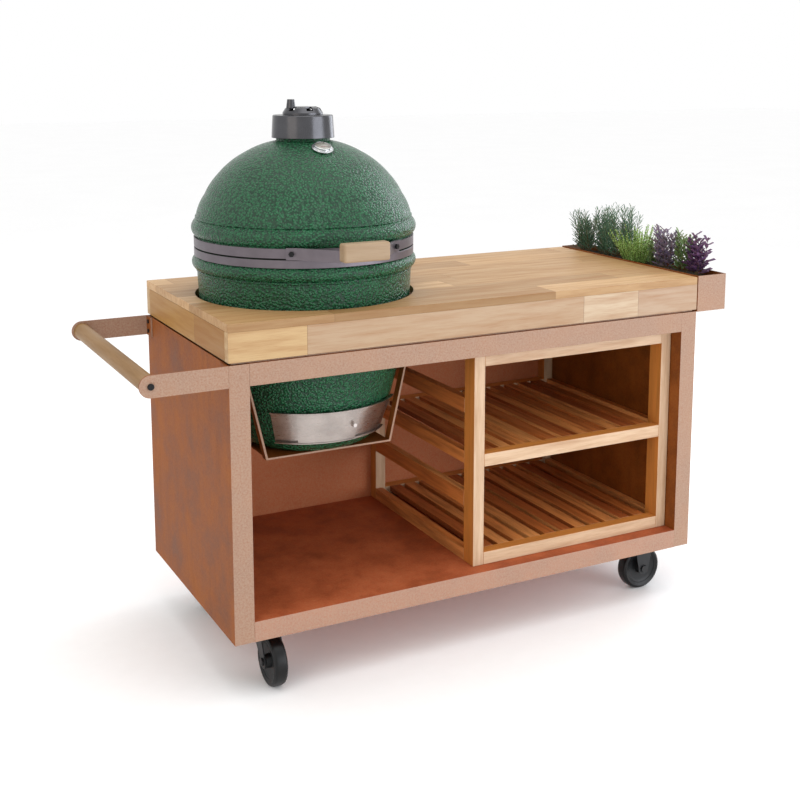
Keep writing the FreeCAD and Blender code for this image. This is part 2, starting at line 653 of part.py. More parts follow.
# ---------------------------------------------------------------- cradle
def egg_cradle():
    """A plate under the foot between two straps, each bent up, outwards and into a bolting tab."""
    tab_inner = d.egg_inset - d.side_thick - d.cradle_thick
    t = d.cradle_thick
    tab_top = d.cradle_lean_rise + d.cradle_tab
    right = [
        (d.cradle_half + t, -t),
        (d.cradle_bend_half + t, d.cradle_bend_rise - 2),
        (tab_inner + t, d.cradle_lean_rise),
        (tab_inner + t, tab_top),
        (tab_inner, tab_top),
        (tab_inner, d.cradle_lean_rise + 2),
        (d.cradle_bend_half, d.cradle_bend_rise),
        (d.cradle_half, 0),
    ]
    left = [(-u, v) for u, v in reversed(right)]
    half_deep = d.cradle_deep / 2
    front_y = EGG_Y - half_deep + d.cradle_strap / 2
    back_y = EGG_Y + half_deep - d.cradle_strap / 2
    straps = [
        plate(name, right + left, d.cradle_strap, (EGG_X, y, d.egg_foot), "XZ_Plane", both_ways=True)
        for name, y in (("cradle_strap_front", front_y), ("cradle_strap_back", back_y))
    ]
    seat = box(
        "cradle_seat",
        (EGG_X - d.cradle_half, EGG_Y - half_deep, d.egg_foot - t),
        (EGG_X + d.cradle_half, EGG_Y + half_deep, d.egg_foot),
    )
    node("egg_cradle", fuse("egg_cradle", seat, *straps))


egg_cradle()


# ---------------------------------------------------------------- draught door
def cone_sheet(name, out, thick, low, tall, sweep, turn=0):
    """A strip of cone about the grill's axis, facing forward. Out is its stand-off from the frame plate."""
    slope = (d.door_high_radius - d.door_low_radius) / d.door_tall
    low_radius = d.door_low_radius + out + slope * low
    high_radius = low_radius + slope * tall
    low_rise = d.door_low_rise + low
    outline = [
        (low_radius, low_rise),
        (low_radius + thick, low_rise),
        (high_radius + thick, low_rise + tall),
        (high_radius, low_rise + tall),
    ]
    rotation = FreeCAD.Rotation(FreeCAD.Vector(0, 0, 1), turn) * FACING_FRONT
    return turned(name, outline, EGG, sweep, rotation)


def draught_door():
    """The fixed frame with its two tracks, the plain outer door and the slotted inner screen."""
    sweep = d.door_half_angle * 2
    aside = 3
    frame_plate = cone_sheet("draught_plate", -7, 2, 0, d.door_tall, sweep, aside)
    window = cone_sheet("draught_window", -9, 5, 12, d.door_tall - 24, 34, turn=-8)
    tracks = [
        cone_sheet("track_low", -5.2, 7, 0, 3, sweep, aside),
        cone_sheet("track_high", -5.2, 7, d.door_tall - 3, 3, sweep, aside),
    ]
    opened = cut("draught_opened", frame_plate, window)
    node("draught_frame", fuse("draught_frame", opened, *tracks))
    leaf_low = 3.5
    leaf_tall = d.door_tall - 7
    leaf = cone_sheet("door_leaf", -1.2, 1.6, leaf_low, leaf_tall, d.door_closed_angle, turn=-8)
    knob_angle = 9
    knob_rise = d.door_low_rise + d.door_tall / 2
    knob_radius = (d.door_low_radius + d.door_high_radius) / 2
    knob_start = on_band(knob_angle, knob_radius - 0.6, knob_rise)
    knob = rod("door_knob", 5, knob_start, 11, rotation=bolt_turn(knob_angle))
    node("draught_door", fuse("draught_door", leaf, knob))
    screen = cone_sheet("screen_leaf", -3.9, 1.2, leaf_low, leaf_tall, d.door_closed_angle, turn=-8)
    slots = [
        cone_sheet(f"screen_slot_{n}", -6, 6, 14, d.door_tall - 28, 2, turn=-23 + 3.5 * n)
        for n in range(9)
    ]
    node("draught_screen", cut("draught_screen", screen, *slots))


draught_door()


# ---------------------------------------------------------------- fire parts inside the base
def fire_parts():
    """The fire box with its grate, the ring above it and the cooking grid."""
    floor = d.base_floor
    grate = d.grate_rise
    top = d.firebox_top_rise
    box_outline = [
        (114, floor),
        (134, floor),
        (198, top),
        (176, top),
        (126, grate + 4),
        (118, grate),
        (94, grate),
        (94, grate - 12),
        (116, grate - 12),
    ]
    bowl = turned("fire_bowl", box_outline)
    port_low = (EGG_X - 40, EGG_Y - 150, d.egg_foot + floor + 8)
    port = box("fire_port", port_low, (EGG_X + 40, EGG_Y, d.egg_foot + grate - 14))
    vents = []
    for n in range(8):
        spin = FreeCAD.Rotation(FreeCAD.Vector(0, 0, 1), 22.5 + 45 * n) * TURNS["X"]
        vents.append(rod(f"fire_vent_{n}", 7, (EGG_X, EGG_Y, d.egg_foot + 160), 230, rotation=spin))
    node("fire_box", cut("fire_box", bowl, port, *vents))
    ring_top = d.ring_top_rise
    node("fire_ring", turned("fire_ring", [(176, top), (198, top), (226, ring_top), (204, ring_top)]))
    disc = rod("grate_disc", d.grate_radius, (EGG_X, EGG_Y, d.egg_foot + grate), 9)
    holes = []
    for count, radius in ((6, 32), (12, 62), (18, 91)):
        for n in range(count):
            angle = 2 * math.pi * n / count
            at = (EGG_X + radius * math.cos(angle), EGG_Y + radius * math.sin(angle), d.egg_foot + grate - 1)
            holes.append(rod(f"grate_hole_{count}_{n}", 7, at, 11))
    node("fire_grate", cut("fire_grate", disc, *holes))


def cooking_grid():
    """A round grid of steel wires in a hoop, resting on the fire ring."""
    wire = d.grid_wire
    reach = d.grid_radius - 2 * wire
    z_low = d.ring_top_rise
    hoop = ring("grid_hoop", reach, d.grid_radius, z_low, z_low + 2 * wire)
    pieces = [hoop]
    count = int(d.grid_bars.value)
    for n in range(count):
        part = (n - (count - 1) / 2) / ((count + 1) / 2)
        half = math.sqrt(1 - part * part)
        bar_low = (EGG_X + reach * part, EGG_Y - reach * half - wire / 2, d.egg_foot + z_low + wire)
        pieces.append(rod(f"grid_bar_{n}", wire * 0.95, bar_low, reach * (2 * half) + wire, "Y"))
    for n, part in enumerate((-0.5, 0.5)):
        half = math.sqrt(1 - part * part)
        bar_low = (EGG_X - reach * half - wire / 2, EGG_Y + reach * part, d.egg_foot + z_low + wire)
        pieces.append(rod(f"grid_cross_{n}", wire * 0.9, bar_low, reach * (2 * half) + wire, "X"))
    node("cooking_grid", fuse("cooking_grid", *pieces))


fire_parts()
cooking_grid()


# ---------------------------------------------------------------- thermometer
def thermometer():
    """A stepped dial case on the lid with its stem, needle and glass."""
    turn = lean_turn()
    spindle = turn.multVec(FreeCAD.Vector(0, 0, 1))

    def along(distance):
        return (PROBE[0], PROBE[1] + spindle.y * distance, PROBE[2] + spindle.z * distance)

    bezel = d.bezel_radius
    dial = d.dial_radius
    outline = [
        (0, -92),
        (2.5, -90),
        (4, 0.6),
        (bezel, 0.6),
        (bezel, 3.6),
        (dial, 4.2),
        (dial, 9.5),
        (dial - 1.6, 10),
        (dial - 1.6, 4.5),
        (0, 4.5),
    ]
    case = turned("thermometer_case", outline, PROBE, rotation=turn)
    node("thermometer_case", case)
    tip = dial - 4
    needle_outline = [(-5, -1.2), (tip, -0.3), (tip, 0.3), (-5, 1.2)]
    needle = plate("thermometer_needle", needle_outline, 0.8, along(5.1), rotation=turn)
    node("thermometer_needle", needle)
    glass = rod("thermometer_glass", dial - 1.7, along(7.7), 1.8, rotation=turn)
    node("thermometer_glass", glass)


thermometer()


# ---------------------------------------------------------------- top vent
def top_vent():
    """A metal cap over the neck and a domed rotor with petal openings on top of it."""
    low, high, wall = d.vent_low_radius, d.vent_high_radius, d.vent_wall
    base, top = d.vent_low_rise, d.vent_low_rise + d.vent_tall
    seat = d.neck_top_rise + 0.4
    outline = [
        (d.neck_radius + 1, base),
        (low, base),
        (high, top - 2),
        (high - 2, top),
        (44, top),
        (44, top - wall),
        (high - wall - 1, top - wall),
        (high - wall, seat + 6),
        (d.flue_radius + 2, seat + 6),
        (d.flue_radius + 2, seat),
        (d.neck_radius + 1, seat),
    ]
    node("vent_body", turned("vent_body", outline))
    r, rise = d.rotor_radius, top + 0.5
    cap = [
        (0, rise + d.rotor_tall),
        (r - 17, rise + d.rotor_tall),
        (r - 7, rise + d.rotor_tall - 4),
        (r, rise + 5),
        (r, rise),
        (r - 4, rise),
        (r - 4, rise + 4),
        (r - 10, rise + d.rotor_tall - 7),
        (r - 18, rise + d.rotor_tall - 4),
        (0, rise + d.rotor_tall - 4),
    ]
    dome = turned("rotor_dome", cap)
    petals = []
    for n in range(int(d.petals.value)):
        spin = FreeCAD.Rotation(FreeCAD.Vector(0, 0, 1), 30 + 360 * n / d.petals.value)
        petal = doc.addObject("Part::Box", f"petal_{n}")
        bound(petal, Length=26, Width=17, Height=16)
        corner = spin.multVec(FreeCAD.Vector(30, -8.5, 0))
        place(petal, (EGG_X + corner.x, EGG_Y + corner.y, d.egg_foot + rise + d.rotor_tall - 10), spin)
        petals.append(petal)
    rotor = cut("rotor_open", dome, *petals)
    tab = doc.addObject("Part::Cone", "rotor_tab")
    bound(tab, Radius1=12, Radius2=9, Height=22)
    place(tab, (EGG_X - 32, EGG_Y, d.egg_foot + rise + d.rotor_tall - 3.5))
    node("vent_rotor", fuse("vent_rotor", rotor, tab))


top_vent()

# ---------------------------------------------------------------- shelf insert
SHELF_X = (LEFT + d.insert_left, LEFT + d.insert_right)
SHELF_Y = (FRONT + d.insert_front, FRONT + d.insert_back)
SHELF_BASE = FLOOR_TOP + d.glide_gap
SHELF_TOP = SHELF_BASE + d.insert_tall


def shelf_insert():
    """A free-standing frame of posts and rails with two slatted shelves."""
    posts, rails = [], []
    inner_x = (SHELF_X[0] + d.post_wide, SHELF_X[1] - d.post_wide)
    inner_y = (SHELF_Y[0] + d.front_post_deep, SHELF_Y[1] - d.back_post_deep)
    for side, low_x in (("left", SHELF_X[0]), ("right", inner_x[1])):
        for end, low_y, high_y in (("front", SHELF_Y[0], inner_y[0]), ("back", inner_y[1], SHELF_Y[1])):
            low = (low_x, low_y, SHELF_BASE)
            posts.append(box(f"post_{end}_{side}", low, (low_x + d.post_wide, high_y, SHELF_TOP)))
    node("insert_posts", group("insert_posts", posts))
    for level in range(3):
        z = SHELF_BASE + d.shelf_step * level
        for end, low_y in (("front", SHELF_Y[0]), ("back", SHELF_Y[1] - d.rail_size)):
            high = (inner_x[1], low_y + d.rail_size, z + d.rail_size)
            rails.append(box(f"rail_{end}_{level}", (inner_x[0], low_y, z), high))
    node("insert_cross_rails", group("insert_cross_rails", rails))
    sides = []
    for level in range(2):
        z = SHELF_BASE + d.shelf_step * level
        for side, low_x in (("left", SHELF_X[0]), ("right", SHELF_X[1] - d.side_rail_thick)):
            high = (low_x + d.side_rail_thick, inner_y[1], z + d.rail_size)
            sides.append(box(f"side_rail_{side}_{level}", (low_x, inner_y[0], z), high))
        guard_z = z + d.guard_rise - 14 * level
        high = (SHELF_X[0] + d.side_rail_thick, inner_y[1], guard_z + d.guard_tall)
        sides.append(box(f"guard_rail_{level}", (SHELF_X[0], inner_y[0], guard_z), high))
    node("insert_side_rails", group("insert_side_rails", sides))
    slat_y = (SHELF_Y[0] + d.rail_size, SHELF_Y[1] - d.rail_size)
    free = (SHELF_X[1] - SHELF_X[0] - d.post_wide * 2 - d.slats * d.slat_wide) / (d.slats + 1)
    for level, name in enumerate(("insert_lower_slats", "insert_upper_slats")):
        top = SHELF_BASE + d.shelf_step * level + d.rail_size
        slats = []
        for n in range(int(d.slats.value)):
            low_x = inner_x[0] + free + (free + d.slat_wide) * n
            low = (low_x, slat_y[0], top - d.slat_thick)
            slats.append(box(f"slat_{level}_{n}", low, (low_x + d.slat_wide, slat_y[1], top)))
        node(name, group(name, slats))


shelf_insert()

# ---------------------------------------------------------------- casters
AXLE_Z = d.wheel_radius
FORK_OUT = d.fork_gap / 2 + d.fork_thick
LEG_RADIUS = 17
YOKE_BASE = 130


def wheel(name, centre, axis):
    """A tyre and its hub, spinning on an axle."""
    half = d.tyre_wide / 2
    lean = TURNS[axis]
    r = d.wheel_radius
    tread = [
        (d.hub_radius, -half + 4),
        (r - 8, -half),
        (r - 2.5, -half + 3),
        (r, -half + 9),
        (r, half - 9),
        (r - 2.5, half - 3),
        (r - 8, half),
        (d.hub_radius, half - 4),
    ]
    node(f"tyre_{name}", turned(f"tyre_{name}", tread, centre, rotation=lean))
    bore = d.axle_radius + d.running_gap
    boss, rim, hub_half = 15, d.hub_radius - 0.1, d.hub_wide / 2
    disc = [
        (bore, -hub_half),
        (boss, -hub_half),
        (boss + 3, -half + 10),
        (rim - 8, -half + 8),
        (rim, -half + 4.5),
        (rim, half - 4.5),
        (rim - 8, half - 8),
        (boss + 3, half - 10),
        (boss, hub_half),
        (bore, hub_half),
    ]
    node(f"hub_{name}", turned(f"hub_{name}", disc, centre, rotation=lean))


def axle(name, centre, axis):
    """A bolt through both fork legs with a hexagon head at each end."""
    half = FORK_OUT
    back = {"X": (-half - 5, 0, 0), "Y": (0, -half - 5, 0)}[axis]
    ahead = {"X": (half, 0, 0), "Y": (0, half, 0)}[axis]
    heads = []
    for n, shift in enumerate((back, ahead)):
        head = doc.addObject("Part::Prism", f"{name}_head_{n}")
        head.Polygon = 6
        bound(head, Circumradius=d.axle_radius * 1.75, Height=5)
        heads.append(place(head, [c + s for c, s in zip(centre, shift)], TURNS[axis]))
    start = [c + s for c, s in zip(centre, back)]
    shank = rod(f"{name}_shank", d.axle_radius, start, half * 2 + 10, axis)
    return fuse(name, shank, *heads)


def fork(name, pivot, centre, axis, yoke_top):
    """A folded fork: a yoke plate over the wheel and a leg down each side to the axle."""
    role = {"X": "YZ_Plane", "Y": "XZ_Plane"}[axis]
    shift = (centre[1] - pivot[1]).value if axis == "X" else 0
    legs = []
    for n, sign in enumerate((-1, 1)):
        outline = [
            (-30, YOKE_BASE),
            (shift - LEG_RADIUS, AXLE_Z),
            (shift + LEG_RADIUS, AXLE_Z),
            (30, YOKE_BASE),
            (30, yoke_top),
            (-30, yoke_top),
        ]
        inner = d.fork_gap / 2 if sign > 0 else -FORK_OUT
        if axis == "X":
            at = (pivot[0] + inner, pivot[1], 0)
        else:
            at = (pivot[0], pivot[1] + inner + d.fork_thick, 0)
        leg = plate(f"{name}_leg_{n}", outline, d.fork_thick, at, role)
        eye_low = [c + (inner if letter == axis else 0) for letter, c in zip("XYZ", centre)]
        eye = rod(f"{name}_eye_{n}", LEG_RADIUS, eye_low, d.fork_thick, axis)
        legs += [leg, eye]
    if axis == "X":
        yoke_low = (pivot[0] - FORK_OUT, pivot[1] - 30, YOKE_BASE)
        yoke_high = (pivot[0] + FORK_OUT, pivot[1] + 30, yoke_top)
    else:
        yoke_low = (pivot[0] - 30, pivot[1] - FORK_OUT, YOKE_BASE)
        yoke_high = (pivot[0] + 30, pivot[1] + FORK_OUT, yoke_top)
    yoke = box(f"{name}_yoke", yoke_low, yoke_high)
    whole = fuse(f"{name}_blank", yoke, *legs)
    start = [c - (FORK_OUT + 1 if n == axis else 0) for n, c in zip("XYZ", centre)]
    return whole, rod(f"{name}_bore", d.axle_radius + 0.02, start, FORK_OUT * 2 + 2, axis)


def mount_plate(name, x, y, z_low):
    """The flat plate that bolts a caster to a beam."""
    low = (x - d.plate_long / 2, y - d.plate_wide / 2, z_low)
    return box(name, low, (x + d.plate_long / 2, y + d.plate_wide / 2, d.caster_tall))


PLATE_LOW = d.caster_tall - PLATE_THICK
HEAD_GAP = 0.6
swivel_plates, fixed_forks, screws = [], [], []
plate_drills = plate_holes("plate_drill", PLATE_LOW - 1, PLATE_THICK + 2, SCREW_RADIUS)
for side, x in CASTER_X.items():
    for end, y in CASTER_Y.items():
        name = f"{end}_{side}"
        own = [h for h in plate_drills if h.Name.startswith(f"plate_drill_{side}_{end}")]
        if side == "left":
            centre = (x, y - d.trail, AXLE_Z)
            pivot = (x, y, 0)
            yoke_top = YOKE_BASE + 5
            whole, bore = fork(f"fork_{name}", pivot, centre, "X", yoke_top)
            stem = rod(f"stem_{name}", 8, (x, y, yoke_top - 1), PLATE_LOW - yoke_top + 0.5)
            collar = rod(f"collar_{name}", d.stem_radius, (x, y, yoke_top - 0.5), 8)
            body = cut(f"swivel_fork_{end}", fuse(f"fork_stem_{name}", whole, stem, collar), bore)
            axle_bolt = axle(f"axle_{name}", centre, "X")
            node(f"swivel_fork_{end}", group(f"swivel_fork_group_{end}", [body, axle_bolt]))
            blank = mount_plate(f"plate_{name}", x, y, PLATE_LOW)
            race_z = yoke_top + 8 + HEAD_GAP
            race = rod(f"race_{name}", d.stem_radius + 4, (x, y, race_z), PLATE_LOW - race_z + 0.5)
            socket = rod(f"socket_{name}", 8 + d.running_gap, (x, y, race_z - 1), d.caster_tall - race_z)
            raced = fuse(f"swivel_plate_blank_{name}", blank, race)
            swivel_plates.append(cut(f"swivel_plate_{name}", raced, socket, *own))
            wheel(name, centre, "X")
        else:
            centre = (x, y, AXLE_Z)
            whole, bore = fork(f"fork_{name}", (x, y, 0), centre, "Y", PLATE_LOW + 0.5)
            blank = mount_plate(f"plate_{name}", x, y, PLATE_LOW)
            plated = fuse(f"fixed_fork_blank_{name}", whole, blank)
            fixed_forks.append(cut(f"fixed_fork_{name}", plated, bore, *own))
            fixed_forks.append(axle(f"axle_{name}", centre, "Y"))
            wheel(name, centre, "Y")
node("swivel_plates", group("swivel_plates", swivel_plates))
node("fixed_forks", group("fixed_forks", fixed_forks))


# ---------------------------------------------------------------- screws
def button_screw(name, at, axis, sign, radius, shank):
    """A button-head screw whose head stands at a point and whose shank runs on along the axis."""
    head_radius = radius * 1.9
    head_tall = d.screw_head_tall
    step = {"X": (1, 0, 0), "Y": (0, 1, 0), "Z": (0, 0, 1)}[axis]
    head_at = at if sign < 0 else [a + s * -head_tall for a, s in zip(at, step)]
    head = rod(f"{name}_head", head_radius, head_at, head_tall, axis)
    body_at = at if sign > 0 else [a + s * -shank for a, s in zip(at, step)]
    body = rod(f"{name}_body", radius - 0.3, body_at, shank + 0.2, axis)
    return fuse(name, head, body)


for n, bar in enumerate(plate_holes("screw_place", PLATE_LOW, 1, 1)):
    spot = bar.Placement.Base
    at = (size(spot.x), size(spot.y), PLATE_LOW)
    screws.append(button_screw(f"caster_screw_{n}", at, "Z", 1, SCREW_RADIUS, 12))
    doc.removeObject(bar.Name)
for n, (y, sign) in enumerate(((FRONT, 1), (BACK, -1))):
    screws.append(button_screw(f"bar_screw_{n}", (BAR_X, y, BAR_Z), "Y", sign, d.handle_screw_radius, 28))
TAB_SCREW_RADIUS = 3
for n, y in enumerate((FRONT + d.arm_tab / 2 + 5, BACK - d.arm_tab / 2 - 5)):
    for m, z in enumerate((ARM_BASE + 13, CAB_TOP - 13)):
        at = (LEFT - d.arm_thick, y, z)
        head = rod(f"tab_screw_{n}_{m}", TAB_SCREW_RADIUS * 1.9, (at[0] - 3.3, at[1], at[2]), 3.3, "X")
        screws.append(head)
for n, part in enumerate((0.15, 0.5, 0.85)):
    at = (RIGHT, FRONT + d.cab_depth * part, PLANTER_BASE + d.planter_tall / 2)
    screws.append(rod(f"planter_spacer_{n}", 9, at, d.planter_gap, "X"))
node("screws_and_spacers", group("screws_and_spacers", screws))

# ---------------------------------------------------------------- checks and files
doc.recompute()
faults = [o.Name for o in doc.Objects if "Invalid" in o.State or "Error" in o.State]
if faults:
    raise RuntimeError(f"failed objects: {faults}")
for name, item in nodes.items():
    shape = item.Shape
    if shape.isNull() or not shape.isValid() or not shape.Solids:
        raise RuntimeError(f"{name} has no valid solid")
if len(nodes) > 60:
    raise RuntimeError(f"{len(nodes)} nodes are too many")
os.makedirs("parts", exist_ok=True)
for name, item in nodes.items():
    item.Shape.exportStep(f"parts/{name}.step")
whole_box = FreeCAD.BoundBox()
for item in nodes.values():
    whole_box.add(item.Shape.BoundBox)
print(len(nodes), "nodes; box", whole_box)
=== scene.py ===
"""The looks of a kamado ceramic grill in its rolling cart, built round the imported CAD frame.

Lengths are in metres in the frame's own axes: +X to the right along the front, +Y to the back, +Z up.
"""

from __future__ import annotations

import json
import logging
import math
import random
from collections.abc import Callable
from dataclasses import dataclass
from enum import Enum
from typing import Any

import bpy
from mathutils import Matrix, Vector

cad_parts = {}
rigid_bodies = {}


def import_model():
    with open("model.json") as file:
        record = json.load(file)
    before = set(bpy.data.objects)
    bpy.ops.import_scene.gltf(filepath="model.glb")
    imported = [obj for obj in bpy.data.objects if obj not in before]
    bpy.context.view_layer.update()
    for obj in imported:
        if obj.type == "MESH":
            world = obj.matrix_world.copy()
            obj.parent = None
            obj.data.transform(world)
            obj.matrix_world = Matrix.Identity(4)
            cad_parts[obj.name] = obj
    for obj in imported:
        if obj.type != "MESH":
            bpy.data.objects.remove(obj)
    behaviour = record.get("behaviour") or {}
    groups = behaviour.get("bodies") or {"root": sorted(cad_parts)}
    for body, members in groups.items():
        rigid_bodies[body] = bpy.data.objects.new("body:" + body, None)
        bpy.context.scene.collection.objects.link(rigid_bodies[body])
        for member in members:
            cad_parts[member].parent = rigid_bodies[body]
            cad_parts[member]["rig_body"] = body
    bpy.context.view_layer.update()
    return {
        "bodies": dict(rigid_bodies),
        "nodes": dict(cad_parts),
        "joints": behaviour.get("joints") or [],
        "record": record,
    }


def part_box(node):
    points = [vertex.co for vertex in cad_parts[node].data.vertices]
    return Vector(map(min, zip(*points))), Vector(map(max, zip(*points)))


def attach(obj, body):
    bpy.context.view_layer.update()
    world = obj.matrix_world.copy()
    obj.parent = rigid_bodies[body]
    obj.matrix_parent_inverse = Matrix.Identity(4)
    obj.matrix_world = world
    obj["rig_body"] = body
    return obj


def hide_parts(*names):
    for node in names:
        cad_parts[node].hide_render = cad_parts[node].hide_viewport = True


LOG = logging.getLogger("kamado_cart")
Frame = dict[str, Any]
Point = tuple[float, float, float]
Outline = list[tuple[float, float]]
Tree = bpy.types.NodeTree
Node = bpy.types.Node
Socket = bpy.types.NodeSocket

MM = 0.001
FIRST_TONE, TONE_SPAN = 0.12, 0.76  # where a wood's tones lie in a random number's range
JOINT_WIDTH, END_WIDTH, SIDE_WIDTH = 1.0 * MM, 1.1 * MM, 0.6 * MM  # glue lines between boards and staves
EGG = Vector((-0.298, 0.023, 0.522))  # middle of the grill's foot


# ------------------------------------------------------------------ shaders
def to_linear(colour: str) -> tuple[float, float, float, float]:
    """Turns an sRGB hex colour into the linear one that Blender's sockets take."""
    channels = [int(colour[n : n + 2], 16) / 255 for n in (1, 3, 5)]
    linear = [c / 12.92 if c <= 0.04045 else ((c + 0.055) / 1.055) ** 2.4 for c in channels]
    return (linear[0], linear[1], linear[2], 1.0)


def add_node(tree: Tree, kind: str, settings: dict[str | int, Any] | None = None) -> Node:
    """Adds a node with its settings and links.

    Args:
        tree: the node tree to add to.
        kind: Blender's name for the node type, without its ShaderNode start.
        settings: values by property name, or by input name or number. A socket is linked to the input
            and a hex colour is turned to linear. "ramp" holds a colour ramp's stops as (position, hex).

    Returns:
        The new node.
    """
    node = tree.nodes.new(f"ShaderNode{kind}")
    for key, value in (settings or {}).items():
        if key == "ramp":
            stops = node.color_ramp.elements
            while len(stops) < len(value):
                stops.new(1.0)
            for stop, (position, colour) in zip(stops, value):
                stop.position = position
                stop.color = to_linear(colour)
        elif isinstance(value, bpy.types.NodeSocket):
            tree.links.new(value, node.inputs[key])
        elif isinstance(key, str) and hasattr(node, key):
            setattr(node, key, value)
        else:
            node.inputs[key].default_value = to_linear(value) if isinstance(value, str) else value
    return node


class Grain(Enum):
    """The axis that a board's grain runs along, as the order of (along, across, through)."""

    ALONG_X = ("X", "Y", "Z")
    ALONG_X_UPRIGHT = ("X", "Z", "Y")
    ALONG_Y = ("Y", "X", "Z")
    ALONG_Y_UPRIGHT = ("Y", "Z", "X")
    ALONG_Z = ("Z", "X", "Y")


@dataclass(frozen=True)
class Finish:
    """A surface finish. Each subclass paints its own node tree.

    Attributes:
        name: the material's name.
    """

    name: str

    def material(self) -> bpy.types.Material:
        """Makes the finish's material the first time, and hands back the same one afterwards."""
        made = bpy.data.materials.get(self.name)
        if made is None:
            made = bpy.data.materials.new(self.name)
            made.use_nodes = True
            tree = made.node_tree
            self.paint(tree, tree.nodes["Principled BSDF"], add_node(tree, "TexCoord"))
        return made

    def paint(self, tree: Tree, skin: Node, where: Node) -> None:
        """Paints the material.

        Args:
            tree: the material's node tree.
            skin: its Principled shader.
            where: its Texture Coordinate node.
        """
        raise NotImplementedError

    @staticmethod
    def feed(tree: Tree, skin: Node, **sockets: Socket) -> None:
        """Links sockets to the shader's inputs, with underscores for the spaces in their names."""
        for name, socket in sockets.items():
            tree.links.new(socket, skin.inputs[name.replace("_", " ")])

    @staticmethod
    def relief(tree: Tree, skin: Node, height: Socket, depth: float) -> None:
        """Gives the shader a bump of that depth in metres from a height of 0 to 1."""
        bump = add_node(tree, "Bump", {"Strength": 1.0, "Distance": depth, "Height": height})
        tree.links.new(bump.outputs[0], skin.inputs["Normal"])

    @staticmethod
    def paint_upright_sheen(tree: Tree, where: Node, colour: Socket, bloom_and_sheen: str, share: float) -> Socket:
        """Paints a pale sheen over a colour on every upright face but those that look left: painted light
        that stands in for the lamps' haze from the front and right.

        Args:
            tree: the material's node tree.
            where: its Texture Coordinate node.
            colour: the colour under the painted sheen.
            bloom_and_sheen: the painted sheen's colour as hex.
            share: how much of the colour it covers.

        Returns:
            The socket that holds the colour with its painted sheen.
        """
        # painted sheen: upright faces that look left get none, the other upright faces get the pale colour
        facing = add_node(tree, "SeparateXYZ", {0: where.outputs["Normal"]})
        turned = add_node(tree, "MapRange", {0: facing.outputs["X"], 1: -0.95, 2: -0.5, 3: 0.0, 4: share})
        level = add_node(tree, "Math", {"operation": "ABSOLUTE", 0: facing.outputs["Z"]})
        upright = add_node(tree, "MapRange", {0: level.outputs[0], 1: 0.5, 2: 0.95, 3: 1.0, 4: 0.0})
        sheen_cover = add_node(
            tree, "Math", {"operation": "MULTIPLY", 0: turned.outputs[0], 1: upright.outputs[0]}
        )
        return add_node(
            tree, "Mix", {"data_type": "RGBA", 0: sheen_cover.outputs[0], 6: colour, 7: bloom_and_sheen}
        ).outputs[2]


@dataclass(frozen=True)
class WeatheringSteel(Finish):
    """Corten sheet left to rust: a matte, cloudy brown skin with fine grains and faint runs.

    Attributes:
        pale: the dry film on its high spots.
        middle: the common tone.
        deep: the tone of damp patches.
        cloud: the size of its patches in metres.
        contrast: how strongly the patches show, 0 to 1.
        bloom_and_sheen: the colour of the painted sheen on upright faces that don't look left.
        sheen_cover: how much of such a face the painted sheen covers, 0 to 1.
        run: how far apart the upright runs are in metres.
        fleck: the size of the rust flecks in metres.
        crust: the size of the rust grains in metres. Real ones are about 0.3 mm, drawn so that they show.
    """

    pale: str = "#995C24"
    middle: str = "#894E1A"
    deep: str = "#703B10"
    cloud: float = 0.11
    contrast: float = 0.75
    # the painted sheen that pales the rust on upright faces lit from the front and right
    bloom_and_sheen: str = "#A68D7B"
    sheen_cover: float = 0.88
    run: float = 0.028
    fleck: float = 0.0045
    crust: float = 0.0016

    def paint(self, tree: Tree, skin: Node, where: Node) -> None:
        """Paints rust in three sizes: patches, speckles and grains, with upright runs."""
        place = where.outputs["Object"]
        clouds = add_node(
            tree, "TexNoise", {"Vector": place, "Scale": 1 / self.cloud, "Detail": 6.0, "Roughness": 0.62}
        ).outputs[0]
        stops = [(0.34, self.deep), (0.5, self.middle), (0.66, self.pale)]
        patches = add_node(tree, "ValToRGB", {"ramp": stops, 0: clouds}).outputs[0]
        toned = add_node(
            tree, "Mix", {"data_type": "RGBA", 0: self.contrast, 6: self.middle, 7: patches}
        ).outputs[2]
        drawn_down = add_node(tree, "Mapping", {"Vector": place, "Scale": (1, 1, 0.12)}).outputs[0]
        runs = add_node(
            tree, "TexNoise", {"Vector": drawn_down, "Scale": 1 / self.run, "Detail": 4.0, "Roughness": 0.6}
        ).outputs[0]
        soft_runs = add_node(tree, "MapRange", {0: runs, 1: 0.52, 2: 0.75, 3: 0.0, 4: 0.38}).outputs[0]
        streaked = add_node(
            tree, "Mix", {"data_type": "RGBA", 0: soft_runs, 6: toned, 7: self.deep}
        ).outputs[2]
        # painted sheen over the rust on upright faces that don't look left
        with_sheen = self.paint_upright_sheen(tree, where, streaked, self.bloom_and_sheen, self.sheen_cover)
        speckle = add_node(
            tree, "TexNoise", {"Vector": place, "Scale": 1 / self.fleck, "Detail": 3.0, "Roughness": 0.7}
        ).outputs[0]
        dots = add_node(tree, "MapRange", {0: speckle, 1: 0.35, 2: 0.68, 3: 0.0, 4: 0.5}).outputs[0]
        colour = add_node(
            tree, "Mix", {"data_type": "RGBA", "blend_type": "SOFT_LIGHT", 0: dots, 6: with_sheen, 7: patches}
        ).outputs[2]
        grains = add_node(
            tree, "TexNoise", {"Vector": place, "Scale": 1 / self.crust, "Detail": 2.0, "Roughness": 0.6}
        ).outputs[0]
        rough = add_node(tree, "MapRange", {0: clouds, 1: 0.3, 2: 0.7, 3: 0.52, 4: 0.72}).outputs[0]
        self.feed(tree, skin, Base_Color=colour, Roughness=rough)
        self.relief(tree, skin, grains, 0.12 * MM)
        skin.inputs["Specular IOR Level"].default_value = 0.25


